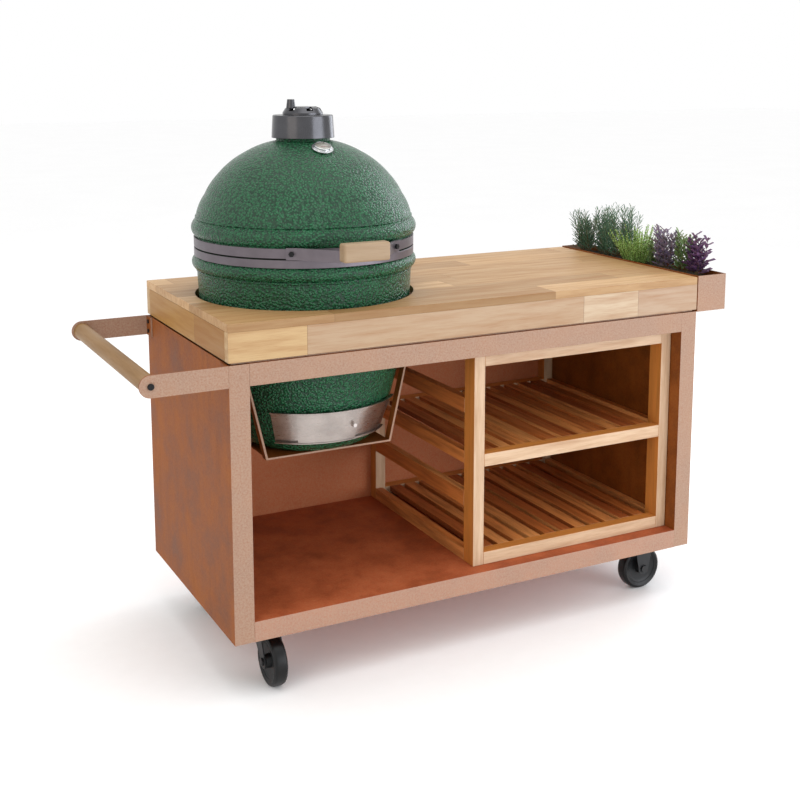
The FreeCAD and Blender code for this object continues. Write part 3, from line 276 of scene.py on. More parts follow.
@dataclass(frozen=True)
class OiledWood(Finish):
    """Oiled hardwood, planed and sanded, with long pores along the grain.

    Attributes:
        grain: the axis that the grain runs along.
        tones: the colours that staves or boards vary between, pale to dark.
        pore: the colour of the grain lines.
        stave: a glued stave's width and length in metres, or None where each board is one piece.
        start: where the first stave begins, across the board.
        joints: where one board of a row ends and the next begins, along the grain. The tones then
            belong to the boards in order.
        upright_sheen: the colour of the painted sheen on upright faces that don't look left, and how much it
            covers.
        strength: how strongly the broad figure shows.
        band: the width of the broad figure's bands in metres.
        vessel: a pore's width in metres. Real ones are about 0.2 mm, drawn so that they show.
    """

    grain: Grain = Grain.ALONG_X
    tones: tuple[str, ...] = ("#D3A26A", "#C68F58", "#B67C46")
    pore: str = "#8E5A2B"
    stave: tuple[float, float] | None = None
    start: float = 0.0
    joints: tuple[float, ...] = ()
    upright_sheen: tuple[str, float] = ("#C4AE94", 0.0)
    strength: float = 0.42
    band: float = 0.016
    vessel: float = 0.0012

    def paint(self, tree: Tree, skin: Node, where: Node) -> None:
        """Paints the boards' tones, the broad figure, the pores and the glue lines."""
        axes = add_node(tree, "SeparateXYZ", {0: where.outputs["Object"]})
        along, across, through = [axes.outputs[axis] for axis in self.grain.value]
        tone, seam = self.boards(tree, along, across)
        slid = {"operation": "MULTIPLY_ADD", 0: tone, 1: 7.3, 2: along}
        shifted = add_node(tree, "Math", slid).outputs[0]
        place = add_node(tree, "CombineXYZ", {0: shifted, 1: across, 2: through}).outputs[0]
        last = len(self.tones) - 1
        ramp = [(FIRST_TONE + TONE_SPAN * n / last, colour) for n, colour in enumerate(self.tones)]
        board_colour = add_node(tree, "ValToRGB", {"ramp": ramp, 0: tone}).outputs[0]
        # painted sheen: paler upright faces, standing in for the light from the front and right
        sheened = self.paint_upright_sheen(tree, where, board_colour, *self.upright_sheen)
        drawn_out = add_node(tree, "Mapping", {"Vector": place, "Scale": (0.09, 1, 1)}).outputs[0]
        figure = add_node(
            tree, "TexNoise", {"Vector": drawn_out, "Scale": 1 / self.band, "Detail": 4.0, "Roughness": 0.55}
        ).outputs[0]
        bands = add_node(
            tree, "MapRange", {0: figure, 1: 0.42, 2: 0.7, 3: 0.0, 4: self.strength}
        ).outputs[0]
        figured = add_node(tree, "Mix", {"data_type": "RGBA", 0: bands, 6: sheened, 7: self.pore}).outputs[2]
        threads = add_node(tree, "Mapping", {"Vector": place, "Scale": (0.03, 1, 1)}).outputs[0]
        pores = add_node(
            tree, "TexNoise", {"Vector": threads, "Scale": 1 / self.vessel, "Detail": 2.0, "Roughness": 0.5}
        ).outputs[0]
        lines = add_node(tree, "MapRange", {0: pores, 1: 0.5, 2: 0.78, 3: 0.0, 4: 0.35}).outputs[0]
        pored = add_node(tree, "Mix", {"data_type": "RGBA", 0: lines, 6: figured, 7: self.pore}).outputs[2]
        glue = add_node(tree, "Math", {"operation": "MULTIPLY", 0: seam, 1: 0.6}).outputs[0]
        colour = add_node(tree, "Mix", {"data_type": "RGBA", 0: glue, 6: pored, 7: "#4E2F16"}).outputs[2]
        rough = add_node(tree, "MapRange", {0: figure, 1: 0.3, 2: 0.7, 3: 0.4, 4: 0.55}).outputs[0]
        self.feed(tree, skin, Base_Color=colour, Roughness=rough)
        planed = add_node(tree, "Math", {"operation": "SUBTRACT", 0: 1.0, 1: lines}).outputs[0]
        height = add_node(tree, "Math", {"operation": "SUBTRACT", 0: planed, 1: seam}).outputs[0]
        self.relief(tree, skin, height, 0.15 * MM)
        skin.inputs["Specular IOR Level"].default_value = 0.35

    def boards(self, tree: Tree, along: Socket, across: Socket) -> tuple[Socket, Socket]:
        """Finds each point's board.

        Args:
            tree: the material's node tree.
            along: the coordinate along the grain.
            across: the coordinate across it.

        Returns:
            A random number for the board, and 1 on a glue line and 0 elsewhere.
        """
        if self.joints:
            return self.row_of_boards(tree, along)
        if self.stave is None:
            island = add_node(tree, "NewGeometry").outputs["Random Per Island"]
            return island, add_node(tree, "Math", {"operation": "MULTIPLY", 0: island, 1: 0.0}).outputs[0]
        width, length = self.stave
        inward = add_node(tree, "Math", {"operation": "SUBTRACT", 0: across, 1: self.start}).outputs[0]
        rows = add_node(tree, "Math", {"operation": "DIVIDE", 0: inward, 1: width}).outputs[0]
        row = add_node(tree, "Math", {"operation": "FLOOR", 0: rows}).outputs[0]
        shift = add_node(tree, "TexWhiteNoise", {"noise_dimensions": "1D", "W": row}).outputs[0]
        lengths = add_node(tree, "Math", {"operation": "DIVIDE", 0: along, 1: length}).outputs[0]
        columns = add_node(tree, "Math", {"operation": "ADD", 0: lengths, 1: shift}).outputs[0]
        column = add_node(tree, "Math", {"operation": "FLOOR", 0: columns}).outputs[0]
        spot = add_node(tree, "CombineXYZ", {0: row, 1: column}).outputs[0]
        tone = add_node(tree, "TexWhiteNoise", {"noise_dimensions": "2D", 0: spot}).outputs[0]
        to_end = add_node(tree, "Math", {"operation": "FRACT", 0: columns}).outputs[0]
        to_side = add_node(tree, "Math", {"operation": "FRACT", 0: rows}).outputs[0]
        ends = add_node(tree, "Math", {"operation": "LESS_THAN", 0: to_end, 1: END_WIDTH / length}).outputs[0]
        edge = SIDE_WIDTH / width
        sides = add_node(tree, "Math", {"operation": "LESS_THAN", 0: to_side, 1: edge}).outputs[0]
        faint = add_node(tree, "Math", {"operation": "MULTIPLY", 0: sides, 1: 0.5}).outputs[0]
        return tone, add_node(tree, "Math", {"operation": "MAXIMUM", 0: ends, 1: faint}).outputs[0]

    def row_of_boards(self, tree: Tree, along: Socket) -> tuple[Socket, Socket]:
        """Finds the board in a row whose joints are given: its place in the tones, and 1 on a joint."""
        index = gap = None
        for joint in self.joints:
            passed = add_node(tree, "Math", {"operation": "GREATER_THAN", 0: along, 1: joint}).outputs[0]
            close = {"operation": "COMPARE", 0: along, 1: joint, 2: JOINT_WIDTH / 2}
            near = add_node(tree, "Math", close).outputs[0]
            if index is None:
                index, gap = passed, near
                continue
            index = add_node(tree, "Math", {"operation": "ADD", 0: index, 1: passed}).outputs[0]
            gap = add_node(tree, "Math", {"operation": "MAXIMUM", 0: gap, 1: near}).outputs[0]
        ordered = {"operation": "MULTIPLY_ADD", 0: index, 1: TONE_SPAN / len(self.joints), 2: FIRST_TONE}
        return add_node(tree, "Math", ordered).outputs[0], gap


@dataclass(frozen=True)
class PebbledGlaze(Finish):
    """Glossy green glaze fired over a pebbled slip: rounded bumps of about 6 mm, darker between them as
    painted shade of the hollows.

    Attributes:
        high: the glaze's colour on the bumps.
        thick: its colour on the bumps where it pooled thicker.
        low: its colour between them, darkened as painted shade of the hollows.
        pebble: a bump's width in metres.
        fine: the size of the small bumps on each large one in metres.
        pool: how wide the thicker patches are in metres.
        clay: the bare clay's colour on the inside, which isn't glazed.
        smoked: its colour where smoke has stained it.
        middle: the middle of the grill's hollow, which inside faces look towards.
    """

    high: str = "#216741"
    thick: str = "#1D5C38"
    low: str = "#0D3421"
    pebble: float = 0.0058
    fine: float = 0.0022
    pool: float = 0.09
    clay: str = "#9C8B76"
    smoked: str = "#6F6152"
    middle: Point = (-0.298, 0.023, 0.95)

    def paint(self, tree: Tree, skin: Node, where: Node) -> None:
        """Paints the pebbles' colour and their rounded relief under a clear gloss."""
        place = where.outputs["Object"]
        wander = add_node(tree, "TexNoise", {"Vector": place, "Scale": 90.0, "Detail": 2.0}).outputs[1]
        bent = add_node(tree, "Mix", {"data_type": "VECTOR", 0: 0.006, 4: place, 5: wander}).outputs[1]
        pebbles = {"feature": "SMOOTH_F1", "Scale": 1 / self.pebble, "Smoothness": 0.35, "Vector": bent}
        cells = add_node(tree, "TexVoronoi", pebbles).outputs["Distance"]
        hump = add_node(tree, "MapRange", {0: cells, 1: 0.2, 2: 0.7, 3: 1.0, 4: 0.0}).outputs[0]
        fine = add_node(
            tree, "TexNoise", {"Vector": place, "Scale": 1 / self.fine, "Detail": 2.0, "Roughness": 0.6}
        ).outputs[0]
        height = add_node(tree, "Math", {"operation": "MULTIPLY_ADD", 0: fine, 1: 0.35, 2: hump}).outputs[0]
        drift = add_node(
            tree, "TexNoise", {"Vector": place, "Scale": 1 / self.pool, "Detail": 3.0, "Roughness": 0.5}
        ).outputs[0]
        tops = add_node(tree, "Mix", {"data_type": "RGBA", 0: drift, 6: self.high, 7: self.thick}).outputs[2]
        # painted shade: the glaze's colour darkens towards the hollows between the bumps
        glaze = add_node(tree, "Mix", {"data_type": "RGBA", 0: hump, 6: self.low, 7: tops}).outputs[2]
        out = add_node(tree, "VectorMath", {"operation": "SUBTRACT", 0: place, 1: self.middle}).outputs[0]
        outward = {"operation": "DOT_PRODUCT", 0: out, 1: where.outputs["Normal"]}
        faces_out = add_node(tree, "VectorMath", outward).outputs["Value"]
        inside = add_node(tree, "Math", {"operation": "LESS_THAN", 0: faces_out, 1: 0.0}).outputs[0]
        bare = add_node(tree, "Mix", {"data_type": "RGBA", 0: drift, 6: self.clay, 7: self.smoked}).outputs[2]
        colour = add_node(tree, "Mix", {"data_type": "RGBA", 0: inside, 6: glaze, 7: bare}).outputs[2]
        rough = add_node(tree, "MapRange", {0: inside, 1: 0.0, 2: 1.0, 3: 0.27, 4: 0.85}).outputs[0]
        self.feed(tree, skin, Base_Color=colour, Roughness=rough)
        self.relief(tree, skin, height, 2.6 * MM)
        skin.inputs["Specular IOR Level"].default_value = 0.34
        skin.inputs["Coat Weight"].default_value = 0.06
        skin.inputs["Coat Roughness"].default_value = 0.15


@dataclass(frozen=True)
class WorkedMetal(Finish):
    """Bare or lacquered metal with the fine lines that rolling, brushing or casting leaves.

    Attributes:
        colour: the metal's colour.
        roughness: how matte it is.
        metallic: 1 for bare metal, less under lacquer.
        lines: how much finer the lines are along each axis, or None for cast grain.
        mark: the size of the lines or grain in metres.
        depth: the relief's depth in metres.
    """

    colour: str = "#9A9894"
    roughness: float = 0.3
    metallic: float = 1.0
    lines: Point | None = None
    mark: float = 0.001
    depth: float = 0.00003

    def paint(self, tree: Tree, skin: Node, where: Node) -> None:
        """Paints a slightly uneven sheen over the worked lines or cast grain."""
        place = where.outputs["Object"]
        drawn = add_node(tree, "Mapping", {"Vector": place, "Scale": self.lines or (1, 1, 1)}).outputs[0]
        marks = add_node(
            tree, "TexNoise", {"Vector": drawn, "Scale": 1 / self.mark, "Detail": 2.0, "Roughness": 0.6}
        ).outputs[0]
        drift = add_node(
            tree, "TexNoise", {"Vector": place, "Scale": 1 / 0.05, "Detail": 3.0, "Roughness": 0.5}
        ).outputs[0]
        low, high = self.roughness - 0.07, self.roughness + 0.09
        rough = add_node(tree, "MapRange", {0: marks, 1: 0.3, 2: 0.7, 3: low, 4: high}).outputs[0]
        shade = add_node(tree, "MapRange", {0: drift, 1: 0.3, 2: 0.7, 3: 0.82, 4: 1.08}).outputs[0]
        grey = add_node(tree, "CombineColor", {0: shade, 1: shade, 2: shade}).outputs[0]
        colour = add_node(
            tree, "Mix", {"data_type": "RGBA", "blend_type": "MULTIPLY", 0: 1.0, 6: self.colour, 7: grey}
        ).outputs[2]
        self.feed(tree, skin, Base_Color=colour, Roughness=rough)
        self.relief(tree, skin, marks, self.depth)
        skin.inputs["Metallic"].default_value = self.metallic


@dataclass(frozen=True)
class DullSolid(Finish):
    """A matte moulded, felted, fired or earthy solid with its own grain.

    Attributes:
        pale: the tone of its high spots.
        deep: the tone of its low spots.
        grain: the size of its grain in metres.
        depth: the relief's depth in metres.
        roughness: how matte it is.
    """

    pale: str = "#3A3A3C"
    deep: str = "#1D1D1F"
    grain: float = 0.002
    depth: float = 0.0001
    roughness: float = 0.7

    def paint(self, tree: Tree, skin: Node, where: Node) -> None:
        """Paints grain in two sizes over a slow drift of tone."""
        place = where.outputs["Object"]
        grains = add_node(
            tree, "TexNoise", {"Vector": place, "Scale": 1 / self.grain, "Detail": 4.0, "Roughness": 0.65}
        ).outputs[0]
        drift = add_node(
            tree, "TexNoise", {"Vector": place, "Scale": 1 / (self.grain * 14), "Detail": 2.0}
        ).outputs[0]
        most = add_node(tree, "Math", {"operation": "MULTIPLY", 0: grains, 1: 0.6}).outputs[0]
        both = add_node(tree, "Math", {"operation": "MULTIPLY_ADD", 0: drift, 1: 0.4, 2: most}).outputs[0]
        stops = [(0.35, self.deep), (0.65, self.pale)]
        colour = add_node(tree, "ValToRGB", {"ramp": stops, 0: both}).outputs[0]
        low, high = self.roughness - 0.08, self.roughness + 0.08
        rough = add_node(tree, "MapRange", {0: grains, 1: 0.3, 2: 0.7, 3: low, 4: high}).outputs[0]
        self.feed(tree, skin, Base_Color=colour, Roughness=rough)
        self.relief(tree, skin, grains, self.depth)
        skin.inputs["Specular IOR Level"].default_value = 0.3


@dataclass(frozen=True)
class LeafSkin(Finish):
    """Living leaf: each leaf has its own tone, with a paler bloom.

    Attributes:
        tones: the colours that leaves vary between.
        bloom_and_sheen: the waxy bloom's colour on part of a leaf.
    """

    tones: tuple[str, ...] = ("#3E6B2A", "#6C9A45")
    bloom_and_sheen: str = "#A9C58C"

    def paint(self, tree: Tree, skin: Node, where: Node) -> None:
        """Paints a tone for each leaf and a mottled bloom over it."""
        island = add_node(tree, "NewGeometry").outputs["Random Per Island"]
        last = len(self.tones) - 1
        stops = [(n / last, colour) for n, colour in enumerate(self.tones)]
        own = add_node(tree, "ValToRGB", {"ramp": stops, 0: island}).outputs[0]
        mottle = add_node(
            tree,
            "TexNoise",
            {"Vector": where.outputs["Object"], "Scale": 1 / 0.004, "Detail": 3.0, "Roughness": 0.6},
        ).outputs[0]
        share = add_node(tree, "MapRange", {0: mottle, 1: 0.45, 2: 0.75, 3: 0.0, 4: 0.45}).outputs[0]
        colour = add_node(tree, "Mix", {"data_type": "RGBA", 0: share, 6: own, 7: self.bloom_and_sheen}).outputs[2]
        self.feed(tree, skin, Base_Color=colour)
        self.relief(tree, skin, mottle, 0.2 * MM)
        skin.inputs["Roughness"].default_value = 0.55
        skin.inputs["Subsurface Weight"].default_value = 0.08


@dataclass(frozen=True)
class PrintedDial(Finish):
    """A printed dial card: a cream disc with a ring of dark ticks inside a dark rim.

    Attributes:
        ticks: how many ticks go round it.
    """

    ticks: int = 60

    def paint(self, tree: Tree, skin: Node, where: Node) -> None:
        """Paints the ticks from the disc's own flat map."""
        centred = {"operation": "SUBTRACT", 0: where.outputs["UV"], 1: (0.5, 0.5, 0.0)}
        spot = add_node(tree, "VectorMath", centred).outputs[0]
        parts = add_node(tree, "SeparateXYZ", {0: spot})
        radius = add_node(tree, "VectorMath", {"operation": "LENGTH", 0: spot}).outputs["Value"]
        turn = {"operation": "ARCTAN2", 0: parts.outputs[1], 1: parts.outputs[0]}
        angle = add_node(tree, "Math", turn).outputs[0]
        rate = self.ticks / math.tau
        count = add_node(tree, "Math", {"operation": "MULTIPLY", 0: angle, 1: rate}).outputs[0]
        step = add_node(tree, "Math", {"operation": "FRACT", 0: count}).outputs[0]
        thin = add_node(tree, "Math", {"operation": "LESS_THAN", 0: step, 1: 0.3}).outputs[0]
        ring = add_node(tree, "Math", {"operation": "COMPARE", 0: radius, 1: 0.4, 2: 0.04}).outputs[0]
        rim = add_node(tree, "Math", {"operation": "COMPARE", 0: radius, 1: 0.46, 2: 0.008}).outputs[0]
        marks = add_node(tree, "Math", {"operation": "MULTIPLY", 0: thin, 1: ring}).outputs[0]
        ink = add_node(tree, "Math", {"operation": "MAXIMUM", 0: marks, 1: rim}).outputs[0]
        fleck = add_node(tree, "TexNoise", {"Vector": where.outputs["Object"], "Scale": 1000.0}).outputs[0]
        share = add_node(tree, "Math", {"operation": "MULTIPLY", 0: fleck, 1: 0.2}).outputs[0]
        card = add_node(tree, "Mix", {"data_type": "RGBA", 0: share, 6: "#E8E2D2", 7: "#CFC6B2"}).outputs[2]
        colour = add_node(tree, "Mix", {"data_type": "RGBA", 0: ink, 6: card, 7: "#1C1B1A"}).outputs[2]
        self.feed(tree, skin, Base_Color=colour)
        skin.inputs["Roughness"].default_value = 0.6


@dataclass(frozen=True)
class ClearGlass(Finish):
    """Flat float glass over the dial, with a faint film of smoke."""

    def paint(self, tree: Tree, skin: Node, where: Node) -> None:
        """Paints clear glass whose roughness drifts with the smoke film."""
        smoke = add_node(
            tree,
            "TexNoise",
            {"Vector": where.outputs["Object"], "Scale": 1 / 0.01, "Detail": 3.0, "Roughness": 0.6},
        ).outputs[0]
        rough = add_node(tree, "MapRange", {0: smoke, 1: 0.3, 2: 0.7, 3: 0.02, 4: 0.09}).outputs[0]
        self.feed(tree, skin, Roughness=rough)
        skin.inputs["Transmission Weight"].default_value = 1.0
        skin.inputs["IOR"].default_value = 1.5


# corten sheet, rusted outdoors: matte brown with soft clouds, and a painted sheen on the upright faces that
# don't look left
CORTEN = WeatheringSteel("weathered corten sheet")
# the same sheet inside the cabinet, painted brighter and redder as a lit copy that stands in for light
# falling on the back wall, in larger patches
CORTEN_INSIDE = WeatheringSteel(
    "painted-lit corten inside", pale="#C08060", middle="#B8754F", deep="#9C5A3A", cloud=0.13, contrast=0.6,
    bloom_and_sheen="#B8754F",
)
# the sheet that things are stood on, painted brighter as a lit copy that stands in for light falling into the
# cabinet; its flat faces take no painted sheen
CORTEN_FLOOR = WeatheringSteel(
    "painted-lit corten floor", pale="#BC6E46", middle="#AC5F39", deep="#8C4626", cloud=0.13
)
# glued oak staves, oiled: low contrast between staves, fine pores, thin glue lines
WORKTOP_OAK = OiledWood(
    "oiled stave worktop", tones=("#C6A070", "#B59062", "#A37F52"), stave=(0.0929, 0.62), start=-0.302
)
# the same oak as end-jointed apron boards, each its own tone, all painted paler and greyer as a painted sheen
# where the front light falls
LIT_APRON_OAK = OiledWood(
    "oiled front apron", Grain.ALONG_X_UPRIGHT, ("#B99A6E", "#AA8F72", "#BAA489", "#A98F76"),
    joints=(-0.43, 0.349, 0.526),
)
# the end apron boards, painted darker and more golden as the shaded copy of the apron oak
SHADED_END_OAK = OiledWood("oiled end apron", Grain.ALONG_Y_UPRIGHT, ("#97692A", "#A27632"), joints=(-0.06,))
ACACIA = ("#DB964A", "#CB823C", "#B56E2E")
# the painted sheen on upright acacia faces: its colour and how much it covers
PALE_SHEEN = ("#C9B195", 0.85)
# oiled acacia slats: red-brown, each slat its own tone, with a strong dark figure and a painted sheen on
# their upright faces
SLAT_WOOD = OiledWood(
    "oiled shelf slats", Grain.ALONG_Y, ("#E8A562", "#C97A3C", "#A3572A"), "#6E3315",
    upright_sheen=PALE_SHEEN, strength=0.6,
)
# acacia rails and posts: the same wood, with a painted sheen that makes it pale where it stands upright
RAIL_WOOD = OiledWood("oiled shelf rails", Grain.ALONG_X, ACACIA, upright_sheen=PALE_SHEEN)
POST_WOOD = OiledWood("oiled shelf posts", Grain.ALONG_Z, ACACIA, upright_sheen=PALE_SHEEN)
# turned and sanded ash, handled often: smooth, pale and a little grey
GRIP_WOOD = OiledWood("oiled ash grip", Grain.ALONG_X, ("#A28A70", "#978064"), "#846848")
BAR_WOOD = OiledWood("oiled ash bar", Grain.ALONG_Y, ("#906B36", "#84602D"), "#6A481F")
# ceramic with a pebbled glaze: deep green, with a small highlight on each bump
GLAZE = PebbledGlaze("pebbled green glaze")
# rolled spring steel under grey lacquer: soft sheen along the band
BAND_METAL = WorkedMetal("lacquered rolled steel", "#6E676D", 0.4, 0.75, (1, 1, 9), 0.004)
# brushed stainless sheet: level brush lines that stretch its reflections upright
STAINLESS = WorkedMetal("brushed stainless sheet", "#B5ADA8", 0.3, 1.0, (1, 1, 30), 0.02, 0.00002)
# spun and polished stainless: nearly a mirror
BRIGHT_CASE = WorkedMetal("spun stainless case", "#D5D6D8", 0.16, 1.0, (1, 1, 1), 0.003, 0.00001)
# cast iron under metallic paint: dark grey, with a satin sheen and cast grain
VENT_METAL = WorkedMetal("painted cast vent", "#525255", 0.24, 0.95, None, 0.0012, 0.00005)
# seasoned cast iron: black-brown and dry
GRATE_IRON = WorkedMetal("seasoned cast iron", "#2B2A29", 0.6, 0.5, None, 0.0012, 0.0001)
# pressed steel under black powder coat: fine orange peel
CASTER_STEEL = WorkedMetal("black powder coat", "#1C1D1F", 0.45, 0.2, None, 0.0009, 0.00004)
# zinc-plated steel: bright grey with a blue cast
AXLE_ZINC = WorkedMetal("bright zinc plate", "#A9ABAD", 0.3, 1.0, None, 0.002, 0.00002)
# black oxide on steel: nearly black, with an oily sheen
SCREW_BLACK = WorkedMetal("black oxide screws", "#171719", 0.4, 0.6, None, 0.001, 0.00002)
# red enamel on a stamped pointer: even and glossy
NEEDLE_RED = WorkedMetal("red enamelled needle", "#A02018", 0.35, 0.0, None, 0.002, 0.00001)
# moulded rubber: black, with a soft gloss from the mould
RUBBER = DullSolid("moulded black rubber", "#0C0C0D", "#060607", 0.0012, 0.00008, 0.4)
# moulded nylon: black, a shade lighter than the rubber
NYLON = DullSolid("moulded black nylon", "#1B1C1E", "#101112", 0.0015, 0.00005, 0.4)
# pressed felt: fibrous, with no shine
FELT = DullSolid("woven felt gasket", "#3B3A38", "#1E1D1C", 0.0012, 0.0003, 0.9)
# fired clay: pale buff, chalky
FIRE_CLAY = DullSolid("fired clay", "#B7A184", "#8E7A60", 0.0015, 0.0002, 0.8)
# damp potting soil: nearly black crumbs
POTTING_SOIL = DullSolid("damp potting soil", "#3A2A1D", "#120C08", 0.005, 0.0012, 0.9)
# printed card behind flat glass: cream and ink, under a faint reflection
DIAL_CARD = PrintedDial("printed dial card")
DIAL_GLASS = ClearGlass("dial glass")
# herb leaves: waxy and matte, each leaf its own tone
ROSEMARY_LEAF = LeafSkin("rosemary needles", ("#1B4530", "#2A5A3E", "#4C7654"), "#7F9C7E")
ROSEMARY_OLD = LeafSkin("woody rosemary needles", ("#5C6650", "#7A8168", "#4C5A45"), "#A2A68C")
THYME_LEAF = LeafSkin("lemon thyme leaves", ("#6B9A35", "#8DBB52", "#B3D77C"), "#CFE59A")
SAGE_LEAF = LeafSkin("purple sage leaves", ("#5B4A68", "#7B6A88", "#4B4A50"), "#A59AAE")
GREEN_LEAF = LeafSkin("green sage leaves", ("#2C4A22", "#4C6E35", "#6C8C4C"), "#8FA872")
DARK_LEAF = LeafSkin("dark basil leaves", ("#3A2140", "#53305C", "#2A1A30"), "#7C5F88")
# young bark: dull brown-green
STEM_BARK = DullSolid("herb stems", "#6B5A3C", "#3C3522", 0.002, 0.0003, 0.8)


# ------------------------------------------------------------------ modelling
def deselect() -> None:
    """Leaves nothing selected."""
    for chosen in list(bpy.context.selected_objects):
        chosen.select_set(False)
    bpy.context.view_layer.objects.active = None


def take(*pieces: bpy.types.Object) -> bpy.types.Object:
    """Selects only these pieces, makes the first one active, and hands it back."""
    deselect()
    for piece in pieces:
        piece.select_set(True)
    bpy.context.view_layer.objects.active = pieces[0]
    return pieces[0]


def settle(piece: bpy.types.Object, name: str) -> bpy.types.Object:
    """Names a piece and puts its place, turn and scale into its mesh."""
    take(piece)
    bpy.ops.object.transform_apply(location=True, rotation=True, scale=True)
    piece.name = name
    piece.data.name = name
    return piece


def apply_modifier(piece: bpy.types.Object, kind: str, **settings: Any) -> None:
    """Adds one modifier with its settings and applies it."""
    take(piece)
    modifier = piece.modifiers.new(kind.lower(), kind)
    for key, value in settings.items():
        setattr(modifier, key, value)
    bpy.ops.object.modifier_apply(modifier=modifier.name)


def tidy_mesh(piece: bpy.types.Object, flat_angle: float = 0.6) -> None:
    """Merges doubles, joins flat triangles into whole faces, and turns every face outwards."""
    take(piece)
    bpy.ops.object.mode_set(mode="EDIT")
    bpy.ops.mesh.select_all(action="SELECT")
    bpy.ops.mesh.remove_doubles(threshold=0.02 * MM)
    bpy.ops.mesh.dissolve_limited(angle_limit=math.radians(flat_angle))
    bpy.ops.mesh.normals_make_consistent(inside=False)
    bpy.ops.object.mode_set(mode="OBJECT")


def soften(piece: bpy.types.Object, width: float, segments: int = 2, smooth: float = 35.0) -> None:
    """Rounds a piece's sharp edges and shades it.

    Args:
        piece: the piece.
        width: the rounding's width in metres, or 0 for none.
        segments: how many steps the rounding has.
        smooth: the angle in degrees up to which faces are shaded as one.
    """
    if width:
        apply_modifier(
            piece, "BEVEL", width=width, segments=segments, limit_method="ANGLE",
            angle_limit=math.radians(32), miter_outer="MITER_ARC",
        )
    take(piece)
    bpy.ops.object.shade_smooth_by_angle(angle=math.radians(smooth))
    apply_modifier(piece, "WEIGHTED_NORMAL", keep_sharp=True, weight=90)


class Bench:
    """Turns CAD nodes into finished pieces, and seats new pieces on their bodies."""

    def __init__(self, frame: Frame) -> None:
        """Keeps the frame, and each node's slot in the record."""
        self.frame = frame
        self.slots = {row["node"]: row["material_slot"] for row in frame["record"]["subparts"]}

    def copy(self, node: str, name: str) -> bpy.types.Object:
        """Copies a CAD node's shape as one merged mesh that lies in its place."""
        mesh = self.frame["nodes"][node].data.copy()
        mesh.materials.clear()
        piece = bpy.data.objects.new(name, mesh)
        bpy.context.scene.collection.objects.link(piece)
        take(piece)
        if mesh.has_custom_normals:
            bpy.ops.mesh.customdata_custom_splitnormals_clear()
        tidy_mesh(piece)
        return piece

    def seat(
        self, piece: bpy.types.Object, finish: Finish, *nodes: str, hide: bool = True
    ) -> bpy.types.Object:
        """Gives a piece its finish and lets it ride where a CAD node rides.

        Args:
            piece: the finished piece.
            finish: its finish.
            nodes: the CAD nodes it belongs with. Its body comes from the first one.
            hide: whether the piece stands for the nodes, which then aren't shown.

        Returns:
            The piece.
        """
        piece.data.materials.clear()
        piece.data.materials.append(finish.material())
        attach(piece, self.frame["nodes"][nodes[0]]["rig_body"])
        if hide:
            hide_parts(*nodes)
        LOG.info("%s: %d faces, %s", piece.name, len(piece.data.polygons), finish.name)
        return piece

    def dress(
        self, node: str, finish: Finish, width: float = 0.0, segments: int = 2, smooth: float = 35.0
    ) -> bpy.types.Object:
        """Makes a finished piece with rounded edges out of a CAD node.

        Args:
            node: the CAD node.
            finish: the piece's finish.
            width: the rounding of its edges in metres.
            segments: how many steps the rounding has.
            smooth: the angle in degrees up to which faces are shaded as one.

        Returns:
            The piece.
        """
        piece = self.copy(node, f"{node}_finished")
        soften(piece, width, segments, smooth)
        return self.seat(piece, finish, node)


def arc(
    start: tuple[float, float], via: tuple[float, float], end: tuple[float, float], steps: int
) -> Outline:
    """Points on the arc from start through via to end, without its last point.

    Args:
        start: where it starts.
        via: a point on its way.
        end: where it ends.
        steps: how many points to give.

    Returns:
        The points.
    """
    (ax, ay), (bx, by), (cx, cy) = start, via, end
    double_area = 2 * (ax * (by - cy) + bx * (cy - ay) + cx * (ay - by))
    a2, b2, c2 = ax * ax + ay * ay, bx * bx + by * by, cx * cx + cy * cy
    ux = (a2 * (by - cy) + b2 * (cy - ay) + c2 * (ay - by)) / double_area
    uy = (a2 * (cx - bx) + b2 * (ax - cx) + c2 * (bx - ax)) / double_area
    radius = math.hypot(ax - ux, ay - uy)
    first, middle, last = [math.atan2(y - uy, x - ux) for x, y in (start, via, end)]
    sweep = (last - first) % math.tau
    if (middle - first) % math.tau > sweep:
        sweep -= math.tau
    turns = [first + sweep * n / steps for n in range(steps)]
    return [(ux + radius * math.cos(t), uy + radius * math.sin(t)) for t in turns]


def spin_up(name: str, outline: Outline, centre: Vector, steps: int) -> bpy.types.Object:
    """Turns a closed outline about the upright axis through a point.

    Args:
        name: the piece's name.
        outline: (radius, rise) corners in metres.
        centre: the point on the axis that rises are measured from.
        steps: how many steps the turn takes.

    Returns:
        The piece.
    """
    deselect()
    bpy.ops.mesh.primitive_plane_add(size=MM, location=centre)
    piece = bpy.context.object
    bpy.ops.object.transform_apply(location=True, rotation=False, scale=False)
    bpy.ops.object.mode_set(mode="EDIT")
    bpy.ops.mesh.select_all(action="SELECT")
    bpy.ops.mesh.merge(type="CENTER")
    bpy.ops.transform.translate(value=(outline[0][0], 0, outline[0][1]))
    for (r0, z0), (r1, z1) in zip(outline, outline[1:] + outline[:1]):
        bpy.ops.mesh.extrude_vertices_move(TRANSFORM_OT_translate={"value": (r1 - r0, 0, z1 - z0)})
    bpy.ops.mesh.select_all(action="SELECT")
    bpy.ops.mesh.remove_doubles(threshold=0.01 * MM)
    bpy.ops.mesh.spin(steps=steps, angle=math.tau, center=centre, axis=(0, 0, 1))
    bpy.ops.mesh.select_all(action="SELECT")
    bpy.ops.mesh.remove_doubles(threshold=0.02 * MM)
    bpy.ops.mesh.normals_make_consistent(inside=False)
    bpy.ops.object.mode_set(mode="OBJECT")
    return settle(piece, name)


def scaled(points: Outline) -> Outline:
    """Turns points from millimetres to metres."""
    return [(r * MM, z * MM) for r, z in points]


